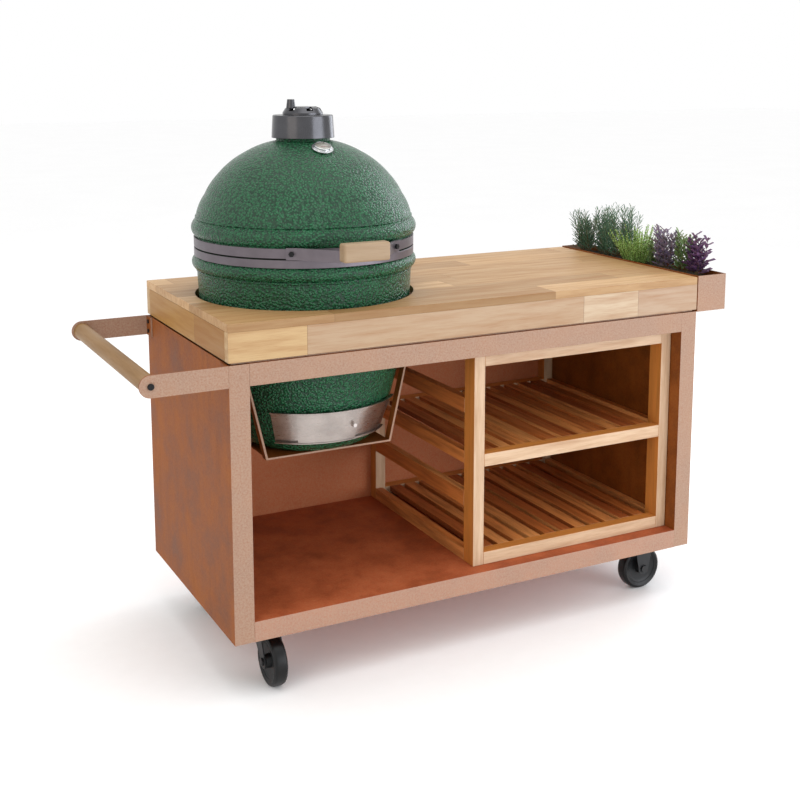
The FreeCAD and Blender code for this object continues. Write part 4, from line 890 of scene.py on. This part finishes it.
@dataclass
class SteelCabinet:
    """The rusted steel box: folded panels, floor and the frame under the worktop.

    Attributes:
        fold: the rounding of its folded edges.
    """

    fold: float = 1.2 * MM

    def build(self, bench: Bench) -> None:
        """Dresses every panel."""
        for node in ("side_panel_left", "side_panel_right", "top_frame"):
            bench.dress(node, CORTEN, self.fold)
        bench.dress("floor_tray", CORTEN_FLOOR, self.fold)
        bench.dress("back_panel", CORTEN_INSIDE, 0.6 * MM)
        bench.dress("egg_cradle", CORTEN, 0.8 * MM)


@dataclass
class WoodenWorktop:
    """The glued stave board on its four aprons.

    Attributes:
        ease: the rounding of its sanded edges.
    """

    ease: float = 1.4 * MM

    def build(self, bench: Bench) -> None:
        """Dresses the board and the aprons."""
        bench.dress("worktop_board", WORKTOP_OAK, self.ease)
        for node in ("apron_front", "apron_back"):
            bench.dress(node, LIT_APRON_OAK, 1.0 * MM)
        for node in ("apron_left", "apron_right"):
            bench.dress(node, SHADED_END_OAK, 1.0 * MM)


@dataclass
class PushHandle:
    """A round wooden bar between two flat steel arms.

    Attributes:
        ease: the rounding of the arms' edges.
    """

    ease: float = 0.7 * MM

    def build(self, bench: Bench) -> None:
        """Dresses the arms and the bar."""
        bench.dress("handle_arms", CORTEN, self.ease)
        bench.dress("handle_bar", BAR_WOOD, 1.0 * MM)


@dataclass
class CeramicGrill:
    """The egg-shaped ceramic shell with its bands, hinge, fire parts and draught door.

    Attributes:
        steps: how many steps the shell's turn takes.
        port: the middle of the draught port from the foot, and its width, depth and height.
    """

    steps: int = 192
    port: tuple[Point, Point] = ((0, -0.196, 0.081), (0.1, 0.132, 0.046))

    def build(self, bench: Bench) -> None:
        """Builds the shell anew and dresses the rest."""
        base = self.base()
        bench.seat(base, GLAZE, "egg_base")
        dome = self.dome()
        bench.seat(dome, GLAZE, "egg_dome")
        for node in ("base_gasket", "dome_gasket"):
            bench.dress(node, FELT, 0.3 * MM)
        for node in ("base_band", "dome_band"):
            bench.dress(node, BAND_METAL, 1.1 * MM, 3)
        for node in ("hinge_leaf_base", "hinge_leaf_lid"):
            bench.dress(node, BAND_METAL, 0.6 * MM)
        bench.dress("hinge_pin", AXLE_ZINC, 0.6 * MM)
        for node in ("draught_frame", "draught_door", "draught_screen"):
            bench.dress(node, STAINLESS, 0.25 * MM)
        for node in ("fire_box", "fire_ring"):
            bench.dress(node, FIRE_CLAY, 1.5 * MM)
        bench.dress("fire_grate", GRATE_IRON, 0.5 * MM)
        bench.dress("cooking_grid", STAINLESS)

    def base(self) -> bpy.types.Object:
        """Turns the lower bowl and opens the draught port through it."""
        outer = (
            arc((150, 0), (180, 17), (196, 43), 8)
            + arc((196, 43), (218, 107), (235, 172), 10)
            + arc((235, 172), (250.5, 232), (262, 294), 10)
            + arc((262, 294), (269.2, 366), (273.5, 444), 10)
            + [(273.5, 444), (275.5, 446), (275.5, 449.5)]
            + arc((274.3, 451), (286, 466), (276.2, 484), 12)
        )
        inner = (
            [(275.5, 485), (275.5, 505), (246, 505)]
            + arc((246, 444), (233, 304), (207, 172), 8)
            + arc((207, 172), (190, 101), (168, 57), 8)
            + arc((168, 57), (158, 38), (142, 30), 4)
            + [(142, 30), (0, 30)]
        )
        bowl = spin_up("egg_base_glazed", scaled([(0, 0)] + outer + inner), EGG, self.steps)
        deselect()
        bpy.ops.mesh.primitive_cube_add(size=1, location=EGG + Vector(self.port[0]))
        port = bpy.context.object
        port.scale = self.port[1]
        settle(port, "draught_port_cutter")
        apply_modifier(bowl, "BOOLEAN", operation="DIFFERENCE", object=port, solver="EXACT")
        bpy.data.objects.remove(port)
        soften(bowl, 0.0, smooth=28)
        return bowl

    def dome(self) -> bpy.types.Object:
        """Turns the lid with its bead, shoulder and neck."""
        outer = (
            [(246, 511), (275.5, 511), (275.5, 533)]
            + arc((275.5, 534), (286, 557), (275.2, 575.6), 12)
            + [(274.4, 577.5), (276.2, 579), (275.8, 583), (273.6, 584.6)]
            + arc((273.2, 586), (266.5, 608), (251, 636), 8)
            + arc((251, 636), (236.6, 662), (218, 685), 8)
            + arc((218, 685), (186.5, 716), (148, 741), 10)
            + arc((148, 741), (110, 759), (68.5, 770), 10)
            + [(68.5, 770), (68.5, 781), (50, 781)]
        )
        inner = (
            arc((50, 746), (104, 735), (136, 720), 6)
            + arc((136, 720), (172, 701), (200, 667), 8)
            + arc((200, 667), (222, 639), (228, 625), 5)
            + arc((228, 625), (239, 583), (246, 534), 8)
        )
        shell = spin_up("egg_dome_glazed", scaled(outer + inner), EGG, self.steps)
        soften(shell, 0.0, smooth=28)
        return shell


@dataclass
class LidFittings:
    """What is fixed to the lid: the grip on its bracket, the thermometer and the top vent.

    Attributes:
        probe: where the thermometer's axis meets the lid.
        lean: how far it leans forward, in degrees.
        card_rise: how far above the lid its printed card lies.
        card_radius: the card's radius.
    """

    probe: Point = (-0.298, -0.098, 1.2766)
    lean: float = 23.2
    card_rise: float = 4.6 * MM
    card_radius: float = 19.7 * MM

    def build(self, bench: Bench) -> None:
        """Dresses the fittings and adds the dial."""
        bench.dress("lid_handle_arms", BAND_METAL, 0.7 * MM)
        bench.dress("lid_grip", GRIP_WOOD, 5.5 * MM, 4)
        bench.dress("lid_bolts", SCREW_BLACK, 0.4 * MM)
        bench.dress("thermometer_case", BRIGHT_CASE, 0.5 * MM)
        bench.dress("thermometer_needle", NEEDLE_RED, 0.08 * MM)
        bench.dress("thermometer_glass", DIAL_GLASS, 0.2 * MM)
        bench.seat(self.dial(), DIAL_CARD, "thermometer_case", hide=False)
        bench.dress("vent_body", VENT_METAL, 1.0 * MM, 3)
        bench.dress("vent_rotor", VENT_METAL, 0.7 * MM)

    def dial(self) -> bpy.types.Object:
        """Makes the thin card that carries the dial's ticks."""
        turn = Matrix.Rotation(math.radians(self.lean), 4, "X")
        middle = Vector(self.probe) + turn @ Vector((0, 0, self.card_rise))
        deselect()
        bpy.ops.mesh.primitive_circle_add(
            vertices=72, radius=self.card_radius, fill_type="NGON", calc_uvs=True, location=middle
        )
        card = bpy.context.object
        card.rotation_euler = turn.to_euler()
        settle(card, "thermometer_dial")
        apply_modifier(card, "SOLIDIFY", thickness=0.3 * MM, offset=1.0)
        return card


@dataclass
class ShelfInsert:
    """The free-standing wooden frame with its two slatted shelves.

    Attributes:
        ease: the rounding of its sanded edges.
    """

    ease: float = 1.5 * MM

    def build(self, bench: Bench) -> None:
        """Dresses the posts, rails and slats."""
        bench.dress("insert_posts", POST_WOOD, self.ease)
        bench.dress("insert_cross_rails", RAIL_WOOD, self.ease)
        for node in ("insert_side_rails", "insert_lower_slats", "insert_upper_slats"):
            bench.dress(node, SLAT_WOOD, self.ease)


@dataclass
class CasterSet:
    """Four rubber-tyred wheels in black forks, two of them swivelling, and the cart's screws.

    Attributes:
        corners: where the wheels stand.
    """

    corners: tuple[str, ...] = ("front_left", "back_left", "front_right", "back_right")

    def build(self, bench: Bench) -> None:
        """Dresses the wheels, forks, plates and screws."""
        for corner in self.corners:
            bench.dress(f"tyre_{corner}", RUBBER, 0.8 * MM)
            bench.dress(f"hub_{corner}", NYLON, 0.6 * MM)
        for node in ("swivel_fork_front", "swivel_fork_back", "fixed_forks", "swivel_plates"):
            bench.dress(node, CASTER_STEEL, 0.5 * MM)
        bench.dress("screws_and_spacers", SCREW_BLACK, 0.8 * MM)


class LeafShape(Enum):
    """A leaf's outline as (length, width, fold) in metres."""

    NEEDLE = (0.021, 0.0022, 0.0006)
    SMALL = (0.010, 0.0065, 0.0012)
    SAGE = (0.034, 0.013, 0.003)
    BASIL = (0.038, 0.017, 0.005)


@dataclass
class HerbPlanter:
    """The steel trough with soil and its row of herbs.

    Attributes:
        middle: the trough's middle along X.
        soil_top: how high the soil stands.
        seed: where the plants' random numbers start.
        cuts_along: how many strips the soil is cut into along the trough.
        cuts_across: how many across it.
        clod: the size of the soil's clods in metres.
    """

    middle: float = 0.779
    soil_top: float = 0.896
    seed: int = 11
    cuts_along: int = 60
    cuts_across: int = 10
    clod: float = 0.022

    def build(self, bench: Bench) -> None:
        """Dresses the trough and grows the soil and plants."""
        self.dice = random.Random(self.seed)
        bench.dress("planter_box", CORTEN, 0.7 * MM)
        bench.seat(self.soil(bench), POTTING_SOIL, "planting_soil")
        self.grow_rosemary(bench)
        self.grow_thyme(bench)
        self.grow_sages(bench)

    def soil(self, bench: Bench) -> bpy.types.Object:
        """Makes the soil with a crumbled top."""
        low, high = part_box("planting_soil")
        deselect()
        bpy.ops.mesh.primitive_cube_add(size=1, location=(low + high) / 2)
        block = bpy.context.object
        block.scale = high - low
        settle(block, "planting_soil_crumbled")
        bpy.ops.object.mode_set(mode="EDIT")
        for normal, cuts in (((0, 1, 0), self.cuts_along), ((1, 0, 0), self.cuts_across)):
            for step in range(1, cuts):
                bpy.ops.mesh.select_all(action="SELECT")
                bpy.ops.mesh.bisect(plane_co=low.lerp(high, step / cuts), plane_no=normal)
        bpy.ops.object.mode_set(mode="OBJECT")
        group = block.vertex_groups.new(name="top")
        tops = [v.index for v in block.data.vertices if v.co.z > high.z - MM]
        group.add(tops, 1.0, "REPLACE")
        clods = bpy.data.textures.new("soil clods", "CLOUDS")
        clods.noise_scale = self.clod
        apply_modifier(
            block, "DISPLACE", texture=clods, texture_coords="LOCAL", direction="Z",
            strength=9 * MM, mid_level=0.75, vertex_group="top",
        )
        soften(block, 0.0, smooth=50)
        return block

    def leaf(self, shape: LeafShape) -> bpy.types.Object:
        """Models one leaf that starts at the origin and points along +X, folded along its rib."""
        length, width, fold = shape.value
        deselect()
        bpy.ops.mesh.primitive_circle_add(
            vertices=8, radius=0.5, fill_type="TRIFAN", location=(length / 2, 0, 0)
        )
        leaf = bpy.context.object
        leaf.scale = (length, width, 1)
        settle(leaf, "leaf")
        self.push(leaf, lambda spot: abs(spot.y) > 0.3 * width, (0, 0, fold))
        self.push(leaf, lambda spot: spot.x > 0.8 * length, (0, 0, 0.1 * length))
        self.push(leaf, lambda spot: spot.x < 0.2 * length and abs(spot.y) > 0, (0.08 * length, 0, 0))
        return leaf

    @staticmethod
    def push(piece: bpy.types.Object, chosen: Callable[[Vector], bool], by: Point) -> None:
        """Moves the corners of a piece whose place is chosen.

        Args:
            piece: the piece.
            chosen: tells whether a corner at a place is moved.
            by: how far they move.
        """
        take(piece)
        bpy.ops.object.mode_set(mode="EDIT")
        bpy.ops.mesh.select_all(action="DESELECT")
        bpy.ops.object.mode_set(mode="OBJECT")
        for corner in piece.data.vertices:
            corner.select = chosen(corner.co)
        bpy.ops.object.mode_set(mode="EDIT")
        bpy.ops.transform.translate(value=by)
        bpy.ops.object.mode_set(mode="OBJECT")

    def stem(self, length: float, thick: float) -> bpy.types.Object:
        """Models one upright stem that starts at the origin."""
        deselect()
        bpy.ops.mesh.primitive_cone_add(
            vertices=5, radius1=thick, radius2=thick * 0.45, depth=length, location=(0, 0, length / 2)
        )
        return settle(bpy.context.object, "stem")

    def gathered(self, template: bpy.types.Object, places: list[Matrix], name: str) -> bpy.types.Object:
        """Copies a template to every place and joins the copies into one piece.

        Args:
            template: what is copied. It is removed afterwards.
            places: each copy's place, turn and scale.
            name: the joined piece's name.

        Returns:
            The joined piece.
        """
        copies = []
        for place in places:
            piece = bpy.data.objects.new(name, template.data.copy())
            bpy.context.scene.collection.objects.link(piece)
            piece.matrix_world = place
            copies.append(piece)
        bpy.data.objects.remove(template)
        take(*copies)
        bpy.ops.object.join()
        return settle(bpy.context.object, name)

    def shoot_places(
        self, foot: Vector, length: float, tilt: float, heading: float, count: int, lift: float, size: float
    ) -> tuple[Matrix, list[Matrix]]:
        """Lays out one shoot: a stem and leaves spiralling up it.

        Args:
            foot: where the stem leaves the soil.
            length: the stem's length.
            tilt: how far it leans, in radians.
            heading: which way it leans, in radians.
            count: how many leaves it has.
            lift: how far its leaves point upwards, in radians.
            size: the leaves' scale.

        Returns:
            The stem's place, and the leaves' places.
        """
        lean = Matrix.Translation(foot) @ Matrix.Rotation(heading, 4, "Z") @ Matrix.Rotation(tilt, 4, "Y")
        leaves = []
        for n in range(count):
            part = 0.12 + 0.88 * (n + self.dice.random() * 0.6) / count
            turn = Matrix.Rotation(n * 2.4 + self.dice.uniform(-0.3, 0.3), 4, "Z")
            raise_up = Matrix.Rotation(-lift - 0.5 * part * self.dice.uniform(0.4, 1.1), 4, "Y")
            grown = size * self.dice.uniform(0.8, 1.15) * (1.0 - 0.35 * part)
            leaves.append(
                lean @ Matrix.Translation((0, 0, length * part)) @ turn @ raise_up @ Matrix.Scale(grown, 4)
            )
        return lean, leaves

    def grow(
        self,
        bench: Bench,
        name: str,
        node: str,
        skin: Finish,
        shape: LeafShape,
        shoots: list[tuple[Vector, float, float, float, int, float, float]],
        hide: bool,
    ) -> None:
        """Grows one plant from its shoots and seats its leaves and stems.

        Args:
            bench: the bench.
            name: the plant's name.
            node: the CAD node it belongs with.
            skin: its leaves' finish.
            shape: its leaves' shape.
            shoots: what shoot_places takes, for each shoot.
            hide: whether the plant stands for the node.
        """
        stems, leaves = [], []
        for shoot in shoots:
            stem, own = self.shoot_places(*shoot)
            stems.append(stem @ Matrix.Diagonal((1, 1, shoot[1] / 0.1, 1)))
            leaves += own
        foliage = self.gathered(self.leaf(shape), leaves, f"{name}_leaves")
        apply_modifier(foliage, "SOLIDIFY", thickness=0.25 * MM, offset=0.0)
        bench.seat(foliage, skin, node, hide=hide)
        stalks = self.gathered(self.stem(0.1, 1.1 * MM), stems, f"{name}_stems")
        bench.seat(stalks, STEM_BARK, node, hide=False)

    def clump(
        self, at_y: float, spread: float, count: int, lengths: tuple[float, float], tilt: float,
        leaves: int, lift: float, size: float,
    ) -> list[tuple[Vector, float, float, float, int, float, float]]:
        """Lays out a clump of shoots round a point of the trough.

        Args:
            at_y: the clump's middle along the trough.
            spread: how far its feet stand from its middle.
            count: how many shoots it has.
            lengths: the shortest and longest shoot.
            tilt: the furthest lean, in radians.
            leaves: how many leaves a shoot has.
            lift: how far leaves point upwards, in radians.
            size: the leaves' scale.

        Returns:
            What shoot_places takes, for each shoot.
        """
        shoots = []
        for _ in range(count):
            heading = self.dice.uniform(0, math.tau)
            away = spread * math.sqrt(self.dice.random())
            aside, behind = 0.7 * away * math.cos(heading), away * math.sin(heading)
            foot = Vector((self.middle + aside, at_y + behind, self.soil_top - 3 * MM))
            lean = tilt * away / spread * self.dice.uniform(0.5, 1.0)
            shoots.append((foot, self.dice.uniform(*lengths), lean, heading, leaves, lift, size))
        return shoots

    def grow_rosemary(self, bench: Bench) -> None:
        """Grows the upright rosemary at the back."""
        fresh = []
        for at_y in (0.28, 0.24, 0.2, 0.16, 0.12, 0.09):
            fresh += self.clump(at_y, 0.03, 7, (0.09, 0.165), 0.36, 44, 0.5, 1.5)
        self.grow(bench, "rosemary", "rosemary_herb", ROSEMARY_LEAF, LeafShape.NEEDLE, fresh, True)
        old = self.clump(0.295, 0.026, 10, (0.07, 0.13), 0.34, 36, 0.5, 1.35)
        self.grow(bench, "woody_rosemary", "rosemary_herb", ROSEMARY_OLD, LeafShape.NEEDLE, old, False)

    def grow_thyme(self, bench: Bench) -> None:
        """Grows the round bush of small bright leaves."""
        shoots = self.clump(0.03, 0.036, 110, (0.06, 0.12), 0.7, 28, 0.5, 0.8)
        self.grow(bench, "lemon_thyme", "bushy_thyme_herb", THYME_LEAF, LeafShape.SMALL, shoots, True)

    def grow_sages(self, bench: Bench) -> None:
        """Grows the three broad-leaved plants at the front."""
        purple = self.clump(-0.105, 0.026, 13, (0.08, 0.125), 0.3, 20, 0.35, 0.85)
        self.grow(bench, "purple_sage", "purple_sage_herb", SAGE_LEAF, LeafShape.SAGE, purple, True)
        green = self.clump(-0.17, 0.022, 10, (0.08, 0.125), 0.25, 17, 0.4, 0.85)
        green += self.clump(-0.045, 0.014, 6, (0.06, 0.1), 0.25, 14, 0.4, 0.75)
        self.grow(bench, "green_sage", "purple_sage_herb", GREEN_LEAF, LeafShape.SAGE, green, False)
        dark = self.clump(-0.235, 0.018, 7, (0.08, 0.125), 0.22, 16, 0.2, 0.95)
        self.grow(bench, "dark_basil", "purple_sage_herb", DARK_LEAF, LeafShape.BASIL, dark, False)


@dataclass
class Studio:
    """The pale floor, the soft lights and the camera.

    Attributes:
        eye: where the camera stands.
        yaw: how far it is turned to the right, in degrees.
        pitch: how far it looks down, in degrees.
        lens: its focal length in millimetres.
        shift: its shift across and up.
    """

    eye: Point = (-1.5139, -2.8655, 1.4779)
    yaw: float = 27.569
    pitch: float = 9.17
    lens: float = 55.253
    shift: tuple[float, float] = (-0.0065, -0.17)

    def build(self) -> None:
        """Sets the stage."""
        bpy.context.scene.view_settings.view_transform = "Standard"
        self.floor()
        self.sky()
        self.lamp("key_right_front", (2.3, -3.5, 1.1), (3.2, 2.0), 75, "#F4F8FF")
        self.lamp("fill_left", (-3.4, -1.6, 2.4), (2.4, 2.4), 20, "#FFF0DE")
        self.lamp("overhead", (0.2, -0.4, 3.8), (3.2, 3.2), 40, "#FFFFFF")
        self.lamp("rim_right_back", (3.4, 1.4, 2.0), (1.6, 2.4), 40, "#F1F6FF")
        self.camera()

    def floor(self) -> None:
        """Lays a wide pale floor with a faint plaster grain."""
        deselect()
        bpy.ops.mesh.primitive_plane_add(size=60, location=(0, 0, 0))
        floor = settle(bpy.context.object, "studio_floor")
        paper = DullSolid("pale studio floor", "#FFFFFF", "#FCFCFC", 0.05, 0.00001, 0.85)
        floor.data.materials.append(paper.material())

    def sky(self) -> None:
        """Lights the scene evenly from all round."""
        world = bpy.data.worlds.new("studio_sky")
        bpy.context.scene.world = world
        world.use_nodes = True
        ground = world.node_tree.nodes["Background"]
        ground.inputs["Color"].default_value = to_linear("#FFFFFF")
        ground.inputs["Strength"].default_value = 1.0

    def lamp(self, name: str, at: Point, size: tuple[float, float], power: float, colour: str) -> None:
        """Hangs one soft rectangular lamp that faces the cart.

        Args:
            name: its name.
            at: where it hangs.
            size: its width and height in metres.
            power: its power in watts.
            colour: its colour as hex.
        """
        light = bpy.data.lights.new(name, "AREA")
        light.shape = "RECTANGLE"
        light.size, light.size_y = size
        light.energy = power
        light.color = to_linear(colour)[:3]
        lamp = bpy.data.objects.new(name, light)
        bpy.context.scene.collection.objects.link(lamp)
        lamp.location = at
        aim = Vector((0, 0, 0.7)) - Vector(at)
        lamp.rotation_euler = aim.to_track_quat("-Z", "Y").to_euler()

    def camera(self) -> None:
        """Stands the camera at its place."""
        view = bpy.data.cameras.new("studio_camera")
        view.lens = self.lens
        view.sensor_width = 36
        view.shift_x, view.shift_y = self.shift
        camera = bpy.data.objects.new("studio_camera", view)
        bpy.context.scene.collection.objects.link(camera)
        camera.location = self.eye
        camera.rotation_euler = (math.radians(90 - self.pitch), 0, math.radians(-self.yaw))
        bpy.context.scene.camera = camera


def main() -> None:
    """Builds every sub-assembly in order, then the studio."""
    logging.basicConfig(level=logging.INFO, format="%(message)s")
    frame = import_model()
    bench = Bench(frame)
    for part in (
        SteelCabinet(), WoodenWorktop(), PushHandle(), CeramicGrill(), LidFittings(), ShelfInsert(),
        CasterSet(), HerbPlanter(),
    ):
        part.build(bench)
        LOG.info("built %s", type(part).__name__)
    Studio().build()


if __name__ == "__main__":
    main()
